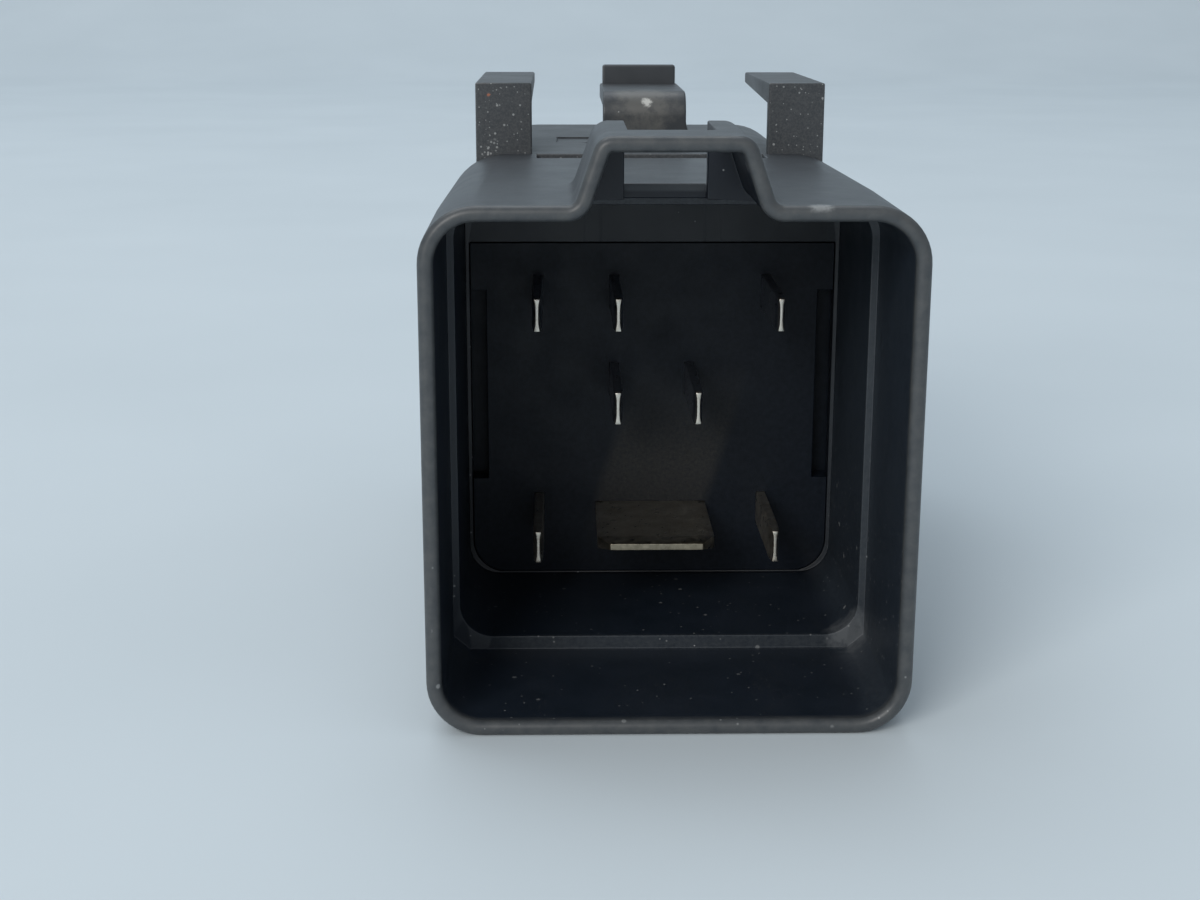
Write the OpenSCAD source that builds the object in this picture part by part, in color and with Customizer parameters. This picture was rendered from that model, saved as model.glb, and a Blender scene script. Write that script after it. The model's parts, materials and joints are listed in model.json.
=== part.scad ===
// Automotive control relay: a keyed plug-in shroud with blade terminals in front,
// a snap-on rear cover with two hook rails and a spring latch, and inside them the
// terminal plate, the timer board and a hinged-armature relay.
// Depths are measured back from the rim of the shroud, along +Y. The part lies on
// its flat side, with the hooks on top.

/* [Housing] */
// Width of the housing across its two flat sides
body_w = 34.8; // [34.4:0.2:42]
// Height of the housing, without key, hooks and latch
body_h = 38; // [37.6:0.2:44]
// Length of the front shroud, from its rim to the seam
shroud_l = 36.7; // [36.2:0.1:42]
// Length of the rear cover, from the seam to its back
cover_l = 33.3; // [33:0.1:42]
// Outer radius of the shroud's four long corners
corner_r = 4; // [3:0.1:5]
// Width of the rear cover, which is narrower than the shroud
case_w = 30; // [30:0.1:33]
// Outer radius of the cover's four long corners
case_r = 5; // [4.8:0.1:5.2]
// Wall thickness of the shroud
wall = 1.1; // [0.9:0.05:1.3]
// Wall thickness of the rear cover
cover_wall = 1.3; // [1.1:0.05:1.6]
// Thickness of the closed back of the rear cover
back_t = 1.6; // [1.2:0.1:2.4]
// Rounding of the back edges of the rear cover
back_r = 1.5; // [0.8:0.1:2.5]

/* [Socket] */
// Depth of the ledge where the socket narrows
ledge_d = 14.7; // [14.2:0.1:18]
// Step of the ledge at the sides and the top
ledge_step = 0.6; // [0.3:0.05:1]
// Step of the ledge at the bottom
bottom_step = 1.1; // [0.4:0.1:1.6]
// Corner radius of the narrow part of the socket
socket_r = 2.6; // [2:0.1:3]
// Distance from the socket floor back to the seam
plate_seat = 6.2; // [5.7:0.1:7.5]
// Height of the top edge of the terminal plate's face
plate_top_z = 31.2; // [30:0.1:32]

/* [Key] */
// Height that the coding key stands above the housing
key_h = 4.6; // [3:0.1:6]
// Outer width of the key at its foot
key_foot_w = 13.6; // [12:0.1:16]
// Outer width of the key at its top
key_top_w = 10.4; // [9:0.1:11.5]
// Length of the key
key_l = 13.7; // [10:0.1:14]
// Outer radius of the key's top corners
key_r = 1.4; // [1.35:0.05:2]
// Outer radius where the key meets the top
key_foot_r = 0.7; // [0.3:0.1:1.2]
// Length of the roof strip in front of the lock window
key_bridge = 5.4; // [3:0.1:8]
// Width of the lock window
lock_w = 6.1; // [4.5:0.1:7]

/* [Hooks and latch] */
// Distance between the centres of the two hooks
hook_pitch = 25.1; // [24:0.1:26]
// Width of a hook
hook_w = 4.8; // [3:0.1:5]
// Height of a hook above the housing
hook_h = 6; // [5.8:0.1:8]
// Thickness of a hook's front wall
hook_post_t = 1.3; // [1:0.1:2.5]
// Length of a hook's arm behind its front face
hook_l = 21; // [10:0.5:28]
// Clear height under a hook's arm at its root
hook_gap = 4.2; // [4.1:0.1:4.6]
// Thickness of a hook's arm at its free end
hook_tip_t = 1; // [0.7:0.1:1.3]
// Depth of the latch's front face
latch_d = 47; // [44:0.5:50]
// Width of the latch
latch_w = 7.6; // [5:0.1:9]
// Height of the latch beam above the housing
latch_h = 4.6; // [4:0.1:5.5]
// Thickness of the latch's leg and beam
latch_t = 1.5; // [1:0.1:1.8]
// Outer radius of the latch's bend
latch_r = 2.2; // [1.9:0.1:2.6]
// Length of the latch beam in front of its finger tab
latch_l = 14.5; // [10:0.5:17]
// Width of the finger tab
tab_w = 7.1; // [5:0.1:9]
// Height of the finger tab above the beam
tab_h = 1.8; // [1:0.1:2.5]
// Thickness of the finger tab
tab_t = 1.3; // [1:0.1:2]

/* [Terminals] */
// Distance between neighbouring columns of blades
col_pitch = 6.4; // [6.2:0.05:6.6]
// Height of the lower row of blades
row_low_z = 8.1; // [7.8:0.1:8.5]
// Distance from the lower to the middle row
row_mid_up = 11.5; // [11:0.1:12]
// Distance from the middle to the upper row
row_top_up = 7.5; // [7:0.1:8]
// Width of a small blade
blade_w = 2.8; // [2:0.1:2.9]
// Thickness of a small blade
blade_t = 0.8; // [0.6:0.1:0.9]
// Width of the power blade
power_w = 9.5; // [8:0.1:9.6]
// Thickness of the power blade
power_t = 1.2; // [0.8:0.1:1.3]
// Length of the blades in front of the socket floor
blade_l = 10.6; // [8:0.1:13]

/* [Terminal plate and board] */
// Thickness of the plate's face
face_t = 1.5; // [1.2:0.1:1.6]
// Thickness of the plate's flange
flange_t = 1.5; // [1.2:0.1:1.6]
// Length of the posts that carry the board
post_l = 4.6; // [4:0.1:6]
// Thickness of the circuit board
board_t = 1.6; // [1:0.1:2]
// Clearance between pieces that sit on or in each other
fit = 0.05; // [0.03:0.01:0.08]

/* [Relay] */
// Height of the coil's axis
coil_z = 15.2; // [15:0.1:15.6]
// Length of the winding
coil_l = 17; // [14:0.5:18]
// Outer diameter of the winding
coil_od = 13.4; // [11:0.1:14]
// Side of the square bobbin flanges
flange_w = 15; // [14.6:0.1:15.4]
// Diameter of the iron core
core_d = 6; // [5:0.1:6.5]
// Diameter of the core's pole face
pole_d = 9.5; // [8:0.1:11]
// Thickness of the yoke's steel
yoke_t = 1.6; // [1.2:0.1:1.8]
// Width of the yoke
yoke_w = 14; // [12:0.1:15]
// Thickness of the armature
armature_t = 1.4; // [1:0.1:1.8]
// Angle that the armature turns as it closes
armature_travel = 4; // [2:0.5:5]
// Diameter of the contact heads
contact_d = 3.4; // [2.5:0.1:3.8]

/* [Hidden] */

$fn = 64;
plastic = [0.13, 0.13, 0.14];
tin = [0.72, 0.70, 0.62];
iron = [0.55, 0.56, 0.58];
copper = [0.75, 0.42, 0.24];
silver = [0.85, 0.85, 0.86];

// Housing
body_l = shroud_l + cover_l;
rim_y = -body_l / 2;
key_slope = (key_foot_w - key_top_w) / 2 / key_h;
body = [[-body_w / 2, 0], [body_w / 2, 0], [body_w / 2, body_h], [-body_w / 2, body_h]];
body_r = [for (i = [1:4]) corner_r];
case = [[-case_w / 2, 0], [case_w / 2, 0], [case_w / 2, body_h], [-case_w / 2, body_h]];
case_corners = [for (i = [1:4]) case_r];
mouth = concat([body[0], body[1], body[2]],
    [[key_foot_w / 2, body_h], [key_top_w / 2, body_h + key_h],
    [-key_top_w / 2, body_h + key_h], [-key_foot_w / 2, body_h]], [body[3]]);
mouth_r = [corner_r, corner_r, corner_r, key_foot_r, key_r, key_r, key_foot_r, corner_r];
arc_steps = 8;
lip_r = wall / 2;
lip_steps = 3;
notch_w = 19.4;
notch_l = 3.6;
snap_d = shroud_l - 2.9;
snap_l = 1.8;
snap_w = 12;
snap_h = 0.8;
spigot_gap = 0.08;
spigot_t = 0.9;
spigot_l = 3.3;
step_t = 1.4;
hook_drop = 0.45;
flare_r = 2;
relief_w = 16;
relief_l = 6.5;
relief_t = 0.4;

// Socket and terminal plate
floor_d = shroud_l - plate_seat;
socket_x = body_w / 2 - wall - ledge_step;
socket_z0 = wall + bottom_step;
socket_z1 = body_h - wall - ledge_step;
plate_gap = 0.1;
plate_x = socket_x - 0.4;
plate_r = 2.8;
recess_w = 1.3;
recess_l = 2.2;
recess_z0 = row_low_z + 2.7;
recess_z1 = plate_top_z - 4;
step_d = floor_d + face_t;
flange_d = step_d + fit;
plate_back = flange_d + flange_t;

// Terminals
row_mid_z = row_low_z + row_mid_up;
row_top_z = row_mid_z + row_top_up;
tip_d = floor_d - blade_l;
coin_b = 0.5;
coin_t = 0.4;
coin_l = 0.9;
shoulder_l = 1.2;
tail_w = 1.2;
tail_l = 1;
power_tail_w = 6;

// Board
board_d = plate_back + post_l;
board_back = board_d + board_t;
board_gap = 2.4;
board_w = case_w - 2 * board_gap;
board_r = case_r - board_gap;
board_z0 = board_gap;
slot_gap = 0.15;
post_x = case_w / 2 - 4.6;
post_z = 4.4;
post_d = 2.6;
peg_d = 1.2;
chip_l = 8.7;
chip_w = 3.9;
chip_t = 1.4;
chip_pitch = 1.27;
chip_foot = 0.6;
chip_x = chip_w / 2 + chip_foot + 0.3 - board_w / 2;
chip_z = row_top_z - chip_l / 2 - 2;
top_room = body_h - board_z0 - row_top_z - tail_w / 2;
part_gap = 0.8;
cap_d = top_room - 2 * part_gap;
cap_l = 11;
cap_x = board_w / 2 - cap_d / 2 - 3;
cap_z = row_top_z + tail_w / 2 + part_gap + cap_d / 2;
diode_d = 2.7;
diode_l = 5.2;
diode_x = 7.2 - board_w / 2;
diode_z = body_h - board_z0 - diode_d / 2 - part_gap;
resistor_d = 1.9;
resistor_l = 6.3;
resistor_pitch = 2.2;
resistor_x = board_w / 2 - resistor_d / 2 - 0.4;
resistor_z = row_mid_z - 5.4;
lead_d = 0.6;
lead_l = 1.4;

// Relay, in depths from the rim
cheek_t = 1;
tube_t = 0.9;
pole_t = 1.2;
air_gap = 0.1;
foot_d = board_back + fit;
bobbin_d = foot_d + yoke_t + fit;
bobbin_end = bobbin_d + coil_l + 2 * cheek_t;
pole_end = bobbin_end + fit + pole_t;
hinge_d = pole_end + air_gap;
yoke_z1 = coil_z - flange_w / 2 - 0.2;
yoke_z0 = yoke_z1 - yoke_t;
foot_top_z = coil_z + core_d / 2 + 0.2;
pin_d = 0.7;
coil_pin_x = flange_w / 2 - 1.2;
coil_pin_z = coil_z + flange_w / 2 - 1.2;
lug_w = 3;
lug_t = 1;
lug_h = 3;
lug_back = 8;
lug_d = foot_d + lug_back;
eye_d = 1.4;
eye_z = yoke_z0 - 1.75;
spring_z = (eye_z - eye_d / 2 + yoke_z0 - lug_h) / 2;
spring_od = 2.6;
wire_d = 0.4;
loop_leg = 0.6;
armature_w = yoke_w - 1;
armature_z1 = coil_z + flange_w / 2 - 1;
tail_tab_w = 3.6;
rivet_x = 1.5;
rivet_z = coil_z + 1;
rivet_d = 1.1;
leaf_w = 5;
leaf_t = 0.3;
leaf_d = hinge_d + armature_t + fit;
contact_t = 0.9;
dome_r = 6;
shank_d = 1.6;
contact_z = coil_z + flange_w / 2 + contact_d / 2 + 1.3;
contact_gap = 0.08;
bar_t = 0.8;
bar_w = 4.6;
bar_z = contact_z + contact_d / 2 + 0.5;
pad_d = leaf_d - 2 * (contact_t + fit) - contact_gap - bar_t;
prong_pitch = 1.6;
prong_w = 0.9;
rib_w = 2;
stop_z = rivet_z + 4;
stop_d = hinge_d + (leaf_d + leaf_t - hinge_d) * cos(armature_travel)
    + (stop_z - yoke_z0) * sin(armature_travel) + 0.1;

// Sweeps an X-Z outline from depth d0 to depth d1
module along(d0, d1)
    translate([0, rim_y + d1, 0]) rotate([90, 0, 0]) linear_extrude(height = d1 - d0) children();

// Sweeps a depth-Z outline from x0 to x1
module across(x0, x1)
    translate([x0, rim_y, 0]) rotate([90, 0, 90]) linear_extrude(height = x1 - x0) children();

// A cylinder along Y from depth d0 to depth d1, on the axis [x, z]
module rod(p, d0, d1, d)
    translate([p[0], rim_y + d1, p[1]]) rotate([90, 0, 0]) cylinder(h = d1 - d0, d = d);

// A box from depth d0 to d1, given its X and Z limits
module block(x, d, z)
    translate([x[0], rim_y + d[0], z[0]]) cube([x[1] - x[0], d[1] - d[0], z[1] - z[0]]);

// A rounded rectangle, centred on X, from height z0 to z1
module round_box(w, z0, z1, r) {
    translate([-w / 2 + r, z0]) square([w - 2 * r, z1 - z0]);
    translate([-w / 2, z0 + r]) square([w, z1 - z0 - 2 * r]);
    for (x = [-w / 2 + r, w / 2 - r])
        for (z = [z0 + r, z1 - r])
            translate([x, z]) circle(r = r);
}

// The same with square upper corners
module tub(w, z0, z1, r) {
    round_box(w, z0, z1, r);
    translate([-w / 2, z1 - 2 * r]) square([w, 2 * r]);
}

// Functions that walk round an outline p whose corners are rounded with the radii r
function heading(p, i) = atan2(p[(i + 1) % len(p)][1] - p[i][1], p[(i + 1) % len(p)][0] - p[i][0]);
function wrap(a) = a > 180 ? a - 360 : a <= -180 ? a + 360 : a;
function bend(p, i) = wrap(heading(p, i) - heading(p, (i + len(p) - 1) % len(p)));
function cut(p, r, i) = r[i] * tan(abs(bend(p, i)) / 2);
function unit(a) = [cos(a), sin(a)];
function centre(p, r, i) = p[i] + cut(p, r, i) * unit(heading(p, i))
    + sign(bend(p, i)) * r[i] * unit(heading(p, i) + 90);

// Points of that outline moved inwards by inset, with steps points on each corner
function ring(p, r, inset, steps) = [for (i = [0:len(p) - 1]) for (k = [0:steps])
    let (s = sign(bend(p, i)), a = heading(p, i) - s * 90 - bend(p, i) * (1 - k / steps))
    centre(p, r, i) + (r[i] - s * inset) * unit(a)];

// Sweeps a profile round a convex outline, with its corners turned about their centres.
// The profile's x runs inwards from the outline and its y is the depth.
module sweep(p, r) {
    for (i = [0:len(p) - 1]) {
        h = heading(p, i);
        j = (i + 1) % len(p);
        end = p[j] - cut(p, r, j) * unit(h);
        run = norm(p[j] - p[i]) - cut(p, r, i) - cut(p, r, j);
        c = centre(p, r, i);
        translate([end[0], rim_y, end[1]]) rotate([0, -90 - h, 0])
            linear_extrude(height = run) children();
        translate([c[0], rim_y, c[1]]) rotate([-90, 0, 0]) rotate([0, 0, 90 - h])
            rotate_extrude(angle = bend(p, i)) translate([r[i], 0]) mirror([1, 0, 0]) children();
    }
}

// ---- Connector shroud ----

function key_half(z, inset) = key_foot_w / 2 - key_slope * (z - body_h) - inset * sqrt(1 + pow(key_slope, 2));

// Wall round the mouth of the socket and the key, with its front edge rounded in steps
module mouth_wall() {
    difference() {
        for (k = [0:lip_steps]) {
            narrow = lip_r * (1 - sin(30 + 60 * k / lip_steps));
            front = lip_r * (1 - cos(90 * k / lip_steps));
            along(front, key_l) difference() {
                polygon(ring(mouth, mouth_r, narrow, arc_steps));
                polygon(ring(mouth, mouth_r, wall - narrow, arc_steps));
            }
        }
        // Lock window in the roof of the key
        block([-lock_w / 2, lock_w / 2], [key_bridge, key_l + 1], [body_h + 0.3, body_h + key_h + 1]);
    }
    // Rear wall of the key, open behind the lock window
    for (s = [-1, 1])
        along(key_l - wall, key_l) polygon([
            [s * lock_w / 2, body_h - wall],
            [s * key_half(body_h, wall / 2), body_h - wall],
            [s * key_half(body_h, wall / 2), body_h],
            [s * key_half(body_h + key_h - wall / 2, wall / 2), body_h + key_h - wall / 2],
            [s * lock_w / 2, body_h + key_h - wall / 2]]);
}

// Body behind the key: the socket narrows at a ledge and ends at the terminal plate
module socket_body() difference() {
    along(key_l, shroud_l) polygon(ring(body, body_r, 0, arc_steps));
    along(key_l - 1, ledge_d) polygon(ring(body, body_r, wall, arc_steps));
    along(ledge_d - 1, floor_d) round_box(2 * socket_x, socket_z0, socket_z1, socket_r);
    along(floor_d - 1, step_d + 1) tub(2 * plate_x + 2 * plate_gap, socket_z0,
        plate_top_z + plate_gap, plate_r + plate_gap);
    along(step_d, shroud_l + 1) round_box(body_w - 2 * wall, wall, body_h - wall, corner_r - wall);
    // Notch in the top edge at the seam, and a snap window in each side
    block([-notch_w / 2, notch_w / 2], [shroud_l - notch_l, shroud_l + 1], [body_h - wall - 1, body_h + 1]);
    for (s = [-1, 1])
        block([s * body_w / 2 - wall - 0.5, s * body_w / 2 + wall + 0.5],
            [snap_d - fit, snap_d + snap_l + fit],
            [body_h / 2 - snap_w / 2 - fit, body_h / 2 + snap_w / 2 + fit]);
}

module connector_shroud() color(plastic) {
    mouth_wall();
    socket_body();
}

// ---- Rear cover ----

// Solid block with rounded back edges
module cover_block() {
    rim_w = case_r - 1;
    sweep(case, case_corners) {
        translate([0, shroud_l]) square([rim_w, cover_l - back_r]);
        translate([back_r, shroud_l]) square([rim_w - back_r, cover_l]);
        translate([back_r, body_l - back_r]) circle(r = back_r);
    }
    along(shroud_l, body_l)
        round_box(case_w - 2 * rim_w + 0.2, rim_w - 0.1, body_h - rim_w + 0.1, case_r - rim_w + 0.1);
}

// Spigot that closes the back of the shroud and clamps the terminal plate, with a snap nub
// on each side. A narrower neck carries it inside the cover.
module spigot() {
    spigot_x = body_w / 2 - wall - spigot_gap;
    z0 = wall + spigot_gap;
    neck_x = case_w / 2 - z0;
    difference() {
        union() {
            along(plate_back + fit, shroud_l) round_box(2 * spigot_x, z0, body_h - z0, corner_r - z0);
            along(shroud_l - step_t / 2, shroud_l + spigot_l)
                round_box(2 * neck_x, z0, body_h - z0, case_r - z0);
        }
        along(plate_back - 1, shroud_l - step_t)
            round_box(2 * spigot_x - 2 * spigot_t, z0 + spigot_t, body_h - z0 - spigot_t,
                corner_r - z0 - spigot_t);
        along(shroud_l - step_t - 1, shroud_l + spigot_l + 1)
            round_box(2 * neck_x - 2 * spigot_t, z0 + spigot_t, body_h - z0 - spigot_t,
                case_r - z0 - spigot_t);
    }
    for (s = [-1, 1])
        translate([0, rim_y, body_h / 2 - snap_w / 2]) linear_extrude(height = snap_w) polygon([
            [s * (spigot_x - spigot_t / 2), snap_d], [s * (spigot_x + 0.1), snap_d],
            [s * (spigot_x + snap_h), snap_d + snap_l - 0.5], [s * (spigot_x + snap_h), snap_d + snap_l],
            [s * (spigot_x - spigot_t / 2), snap_d + snap_l]]);
}

// Hook: a front wall with an arm that runs back and thins towards its free end
module hook(x) across(x - hook_w / 2, x + hook_w / 2) polygon([
    [shroud_l, body_h - case_r], [shroud_l, body_h + hook_h],
    [shroud_l + hook_l, body_h + hook_h - hook_drop],
    [shroud_l + hook_l, body_h + hook_h - hook_drop - hook_tip_t],
    [shroud_l + hook_post_t, body_h + hook_gap], [shroud_l + hook_post_t, body_h - case_r]]);

// Spring latch: a leg that bends back into a beam with an upright finger tab
module latch() {
    bend_d = latch_d + latch_r;
    bend_z = body_h + latch_h - latch_r;
    across(-latch_w / 2, latch_w / 2) {
        translate([latch_d, body_h - cover_wall / 2]) square([latch_t, cover_wall / 2 + latch_h - latch_r]);
        intersection() {
            difference() {
                translate([bend_d, bend_z]) circle(r = latch_r);
                translate([bend_d, bend_z]) circle(r = latch_r - latch_t);
            }
            translate([latch_d, bend_z]) square(latch_r);
        }
        translate([bend_d, body_h + latch_h - latch_t]) square([latch_l - latch_r, latch_t]);
    }
    block([-tab_w / 2, tab_w / 2], [latch_d + latch_l - tab_t, latch_d + latch_l],
        [body_h + latch_h - latch_t, body_h + latch_h + tab_h]);
    // Flared foot
    along(latch_d, latch_d + latch_t) difference() {
        translate([-latch_w / 2 - flare_r, body_h - cover_wall / 2])
            square([latch_w + 2 * flare_r, cover_wall / 2 + flare_r]);
        for (s = [-1, 1]) translate([s * (latch_w / 2 + flare_r), body_h + flare_r]) circle(r = flare_r);
    }
}

module rear_cover() color(plastic) {
    difference() {
        union() {
            cover_block();
            for (s = [-1, 1]) hook(s * hook_pitch / 2);
        }
        along(shroud_l - 1, body_l - back_t)
            round_box(case_w - 2 * cover_wall, cover_wall, body_h - cover_wall, case_r - cover_wall);
        // Shallow relief round the latch's foot
        block([-relief_w / 2, relief_w / 2], [latch_d + 1, latch_d + relief_l],
            [body_h - relief_t, body_h + 1]);
    }
    spigot();
    latch();
    // Rib that stops the open armature
    block([-rib_w / 2, rib_w / 2], [stop_d, body_l - back_t / 2], [stop_z - rib_w, stop_z]);
}

// ---- Terminals and their plate ----

cols = [-1.5, -0.5, 1.5, -0.5, 0.5, -1.5, 1.5];
rows = [row_top_z, row_top_z, row_top_z, row_mid_z, row_mid_z, row_low_z, row_low_z];
function blade_pos(i) = [cols[i - 1] * col_pitch, rows[i - 1]];

// Outline of a blade seen from the side: width w, with its tip bevelled by b
module blade_side(w, b, d0, d1) polygon([[d0, b - w / 2], [d0 + b, -w / 2], [d1, -w / 2],
    [d1, w / 2], [d0 + b, w / 2], [d0, w / 2 - b]]);

// Small blade with a coined tip, shoulders behind the plate and a tail through the board
module small_terminal(i) color(tin) translate([blade_pos(i)[0], 0, blade_pos(i)[1]]) {
    intersection() {
        across(-blade_t / 2, blade_t / 2) blade_side(blade_w, coin_b, tip_d, plate_back + fit);
        translate([0, rim_y, -blade_w]) linear_extrude(height = 2 * blade_w) polygon([
            [-coin_t / 2, tip_d], [coin_t / 2, tip_d], [blade_t / 2, tip_d + coin_l],
            [blade_t / 2, plate_back + 1], [-blade_t / 2, plate_back + 1], [-blade_t / 2, tip_d + coin_l]]);
    }
    block([-blade_t / 2, blade_t / 2], [plate_back + fit, plate_back + fit + shoulder_l],
        [-blade_w / 2 - 0.6, blade_w / 2 + 0.6]);
    block([-blade_t / 2, blade_t / 2], [plate_back, board_back + tail_l], [-tail_w / 2, tail_w / 2]);
}

// Wide blade for the supply, with a tail staked into the yoke
module power_terminal() color(tin) translate([0, 0, row_low_z]) {
    intersection() {
        along(tip_d, plate_back + fit) translate([-power_w / 2, -power_t / 2]) square([power_w, power_t]);
        translate([0, rim_y, -power_t]) linear_extrude(height = 2 * power_t) polygon([
            [coin_b - power_w / 2, tip_d], [power_w / 2 - coin_b, tip_d], [power_w / 2, tip_d + coin_b],
            [power_w / 2, plate_back + 1], [-power_w / 2, plate_back + 1], [-power_w / 2, tip_d + coin_b]]);
        across(-power_w, power_w) polygon([
            [tip_d, -power_t / 4], [tip_d + coin_l, -power_t / 2], [plate_back + 1, -power_t / 2],
            [plate_back + 1, power_t / 2], [tip_d + coin_l, power_t / 2], [tip_d, power_t / 4]]);
    }
    block([-power_w / 2 - 0.8, power_w / 2 + 0.8], [plate_back + fit, plate_back + fit + shoulder_l],
        [-power_t / 2, power_t / 2]);
    block([-power_tail_w / 2, power_tail_w / 2], [plate_back, foot_d + yoke_t], [-power_t / 2, power_t / 2]);
}

// Plate that carries the blades: a face in the socket, a flange behind it and posts for the board
module base_plate() color(plastic) {
    difference() {
        union() {
            along(floor_d, flange_d + flange_t / 2)
                tub(2 * plate_x, socket_z0 + plate_gap, plate_top_z, plate_r);
            along(flange_d, plate_back)
                round_box(body_w - 2 * wall - 2 * plate_gap, wall + plate_gap,
                    body_h - wall - plate_gap, corner_r - wall - plate_gap);
        }
        for (i = [1:7]) translate([blade_pos(i)[0], 0, blade_pos(i)[1]])
            block([-blade_t / 2 - fit, blade_t / 2 + fit], [floor_d - 1, plate_back + 1],
                [-blade_w / 2 - fit, blade_w / 2 + fit]);
        block([-power_w / 2 - fit, power_w / 2 + fit], [floor_d - 1, plate_back + 1],
            [row_low_z - power_t / 2 - fit, row_low_z + power_t / 2 + fit]);
        // Recess along each side of the face
        for (s = [-1, 1])
            block([s * plate_x - recess_w, s * plate_x + recess_w], [floor_d - 1, floor_d + recess_l],
                [recess_z0, recess_z1]);
    }
    for (x = [-post_x, post_x]) for (z = [post_z, body_h - post_z]) {
        rod([x, z], plate_back - 0.5, board_d, post_d);
        rod([x, z], board_d - 0.5, board_back + 0.5, peg_d);
    }
}

// ---- Timer board and what is soldered to it ----

module circuit_board() color([0.12, 0.34, 0.20]) difference() {
    along(board_d + fit, board_back) round_box(board_w, board_z0, body_h - board_z0, board_r);
    for (i = [1:7]) translate([blade_pos(i)[0], 0, blade_pos(i)[1]])
        block([-blade_t / 2 - slot_gap, blade_t / 2 + slot_gap], [board_d - 1, board_back + 1],
            [-tail_w / 2 - slot_gap, tail_w / 2 + slot_gap]);
    block([-power_tail_w / 2 - slot_gap, power_tail_w / 2 + slot_gap], [board_d - 1, board_back + 1],
        [row_low_z - power_t / 2 - slot_gap, row_low_z + power_t / 2 + slot_gap]);
    for (x = [-post_x, post_x]) for (z = [post_z, body_h - post_z])
        rod([x, z], board_d - 1, board_back + 1, peg_d + 2 * fit);
    for (s = [-1, 1]) rod([s * coil_pin_x, coil_pin_z], board_d - 1, board_back + 1, pin_d + 2 * slot_gap);
    for (s = [-1, 0, 1])
        block([s * prong_pitch - prong_w / 2 - slot_gap, s * prong_pitch + prong_w / 2 + slot_gap],
            [board_d - 1, board_back + 1], [bar_z - slot_gap, bar_z + bar_t + slot_gap]);
}

// Timer circuit in a small outline package, with seven leads on each of its upright sides
module timer_chip() color([0.10, 0.10, 0.11]) {
    foot = board_back + fit;
    side = chip_w / 2;
    block([chip_x - side, chip_x + side], [foot + 0.15, foot + 0.15 + chip_t],
        [chip_z - chip_l / 2, chip_z + chip_l / 2]);
    for (i = [-3:3]) for (s = [-1, 1])
        translate([chip_x, rim_y, chip_z + i * chip_pitch - 0.2]) linear_extrude(height = 0.4) polygon([
            [s * (side + chip_foot), foot], [s * (side + 0.15), foot], [s * (side - 0.1), foot + 0.85],
            [s * (side - 0.1), foot + 1.05], [s * (side + 0.15), foot + 1.05],
            [s * (side + 0.35), foot + 0.2], [s * (side + chip_foot), foot + 0.2]]);
}

// Electrolytic capacitor, with the bead rolled into its can
module storage_capacitor() color([0.16, 0.18, 0.30])
    translate([cap_x, rim_y + board_back + fit, cap_z]) rotate([-90, 0, 0]) rotate_extrude() difference() {
        union() {
            square([cap_d / 2 - 0.4, cap_l]);
            translate([0, 0.4]) square([cap_d / 2, cap_l - 0.8]);
            for (y = [0.4, cap_l - 0.4]) translate([cap_d / 2 - 0.4, y]) circle(r = 0.4);
        }
        translate([cap_d / 2 + 0.15, 1.8]) circle(r = 0.5);
    }

// Leaded part of diameter d and length l lying along Z, with both leads bent down to the board
module axial_part(d, l) {
    y = board_back + fit + d / 2;
    bend_z = l / 2 - 0.2 + lead_l;
    translate([0, rim_y + y, -l / 2]) cylinder(h = l, d = d);
    for (s = [-1, 1]) {
        translate([0, rim_y + y, s > 0 ? bend_z - lead_l : -bend_z]) cylinder(h = lead_l, d = lead_d);
        translate([0, rim_y + y, s * bend_z]) sphere(d = lead_d);
        rod([0, s * bend_z], board_back + fit, y, lead_d);
    }
}

module suppression_diode() color([0.10, 0.10, 0.11])
    translate([diode_x, 0, diode_z]) rotate([0, 90, 0]) axial_part(diode_d, diode_l);
module resistor(i) color([0.62, 0.52, 0.36])
    translate([resistor_x - i * resistor_pitch, 0, resistor_z]) axial_part(resistor_d, resistor_l);

// ---- Relay ----

// L-shaped iron: a foot on the board and a leg under the coil, with a lug for the spring
module yoke() color(iron) difference() {
    union() {
        across(-yoke_w / 2, yoke_w / 2) {
            translate([foot_d, yoke_z0 + yoke_t]) square([yoke_t, foot_top_z - yoke_z0 - yoke_t]);
            translate([foot_d + yoke_t, yoke_z0]) square([pole_end - foot_d - yoke_t, yoke_t]);
            intersection() {
                translate([foot_d + yoke_t, yoke_z0 + yoke_t]) circle(r = yoke_t);
                translate([foot_d, yoke_z0]) square(yoke_t);
            }
        }
        block([-lug_w / 2, lug_w / 2], [lug_d, lug_d + lug_t], [yoke_z0 - lug_h, yoke_z0 + 0.5]);
    }
    rod([0, coil_z], foot_d - 1, foot_d + yoke_t + 1, core_d - 1.4 + 2 * fit);
    rod([0, eye_z], lug_d - 1, lug_d + lug_t + 1, eye_d);
    block([-power_tail_w / 2 - fit, power_tail_w / 2 + fit], [foot_d - 1, foot_d + yoke_t + 1],
        [row_low_z - power_t / 2 - fit, row_low_z + power_t / 2 + fit]);
}

// Iron core: riveted tail, shaft and pole face
module core() color(iron) {
    rod([0, coil_z], foot_d, foot_d + yoke_t + 0.5, core_d - 1.4);
    rod([0, coil_z], foot_d + yoke_t + fit, bobbin_end + 0.5, core_d);
    rod([0, coil_z], bobbin_end + fit, pole_end, pole_d);
}

module bobbin() color([0.85, 0.83, 0.76]) difference() {
    union() {
        rod([0, coil_z], bobbin_d, bobbin_end, core_d + 2 * tube_t);
        for (d = [bobbin_d, bobbin_end - cheek_t])
            along(d, d + cheek_t)
                round_box(flange_w, coil_z - flange_w / 2, coil_z + flange_w / 2, 1.2);
    }
    rod([0, coil_z], bobbin_d - 1, bobbin_end + 1, core_d + 2 * fit);
    for (s = [-1, 1])
        rod([s * coil_pin_x, coil_pin_z], bobbin_d - 1, bobbin_d + cheek_t + 1, pin_d + 2 * fit);
}

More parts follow.
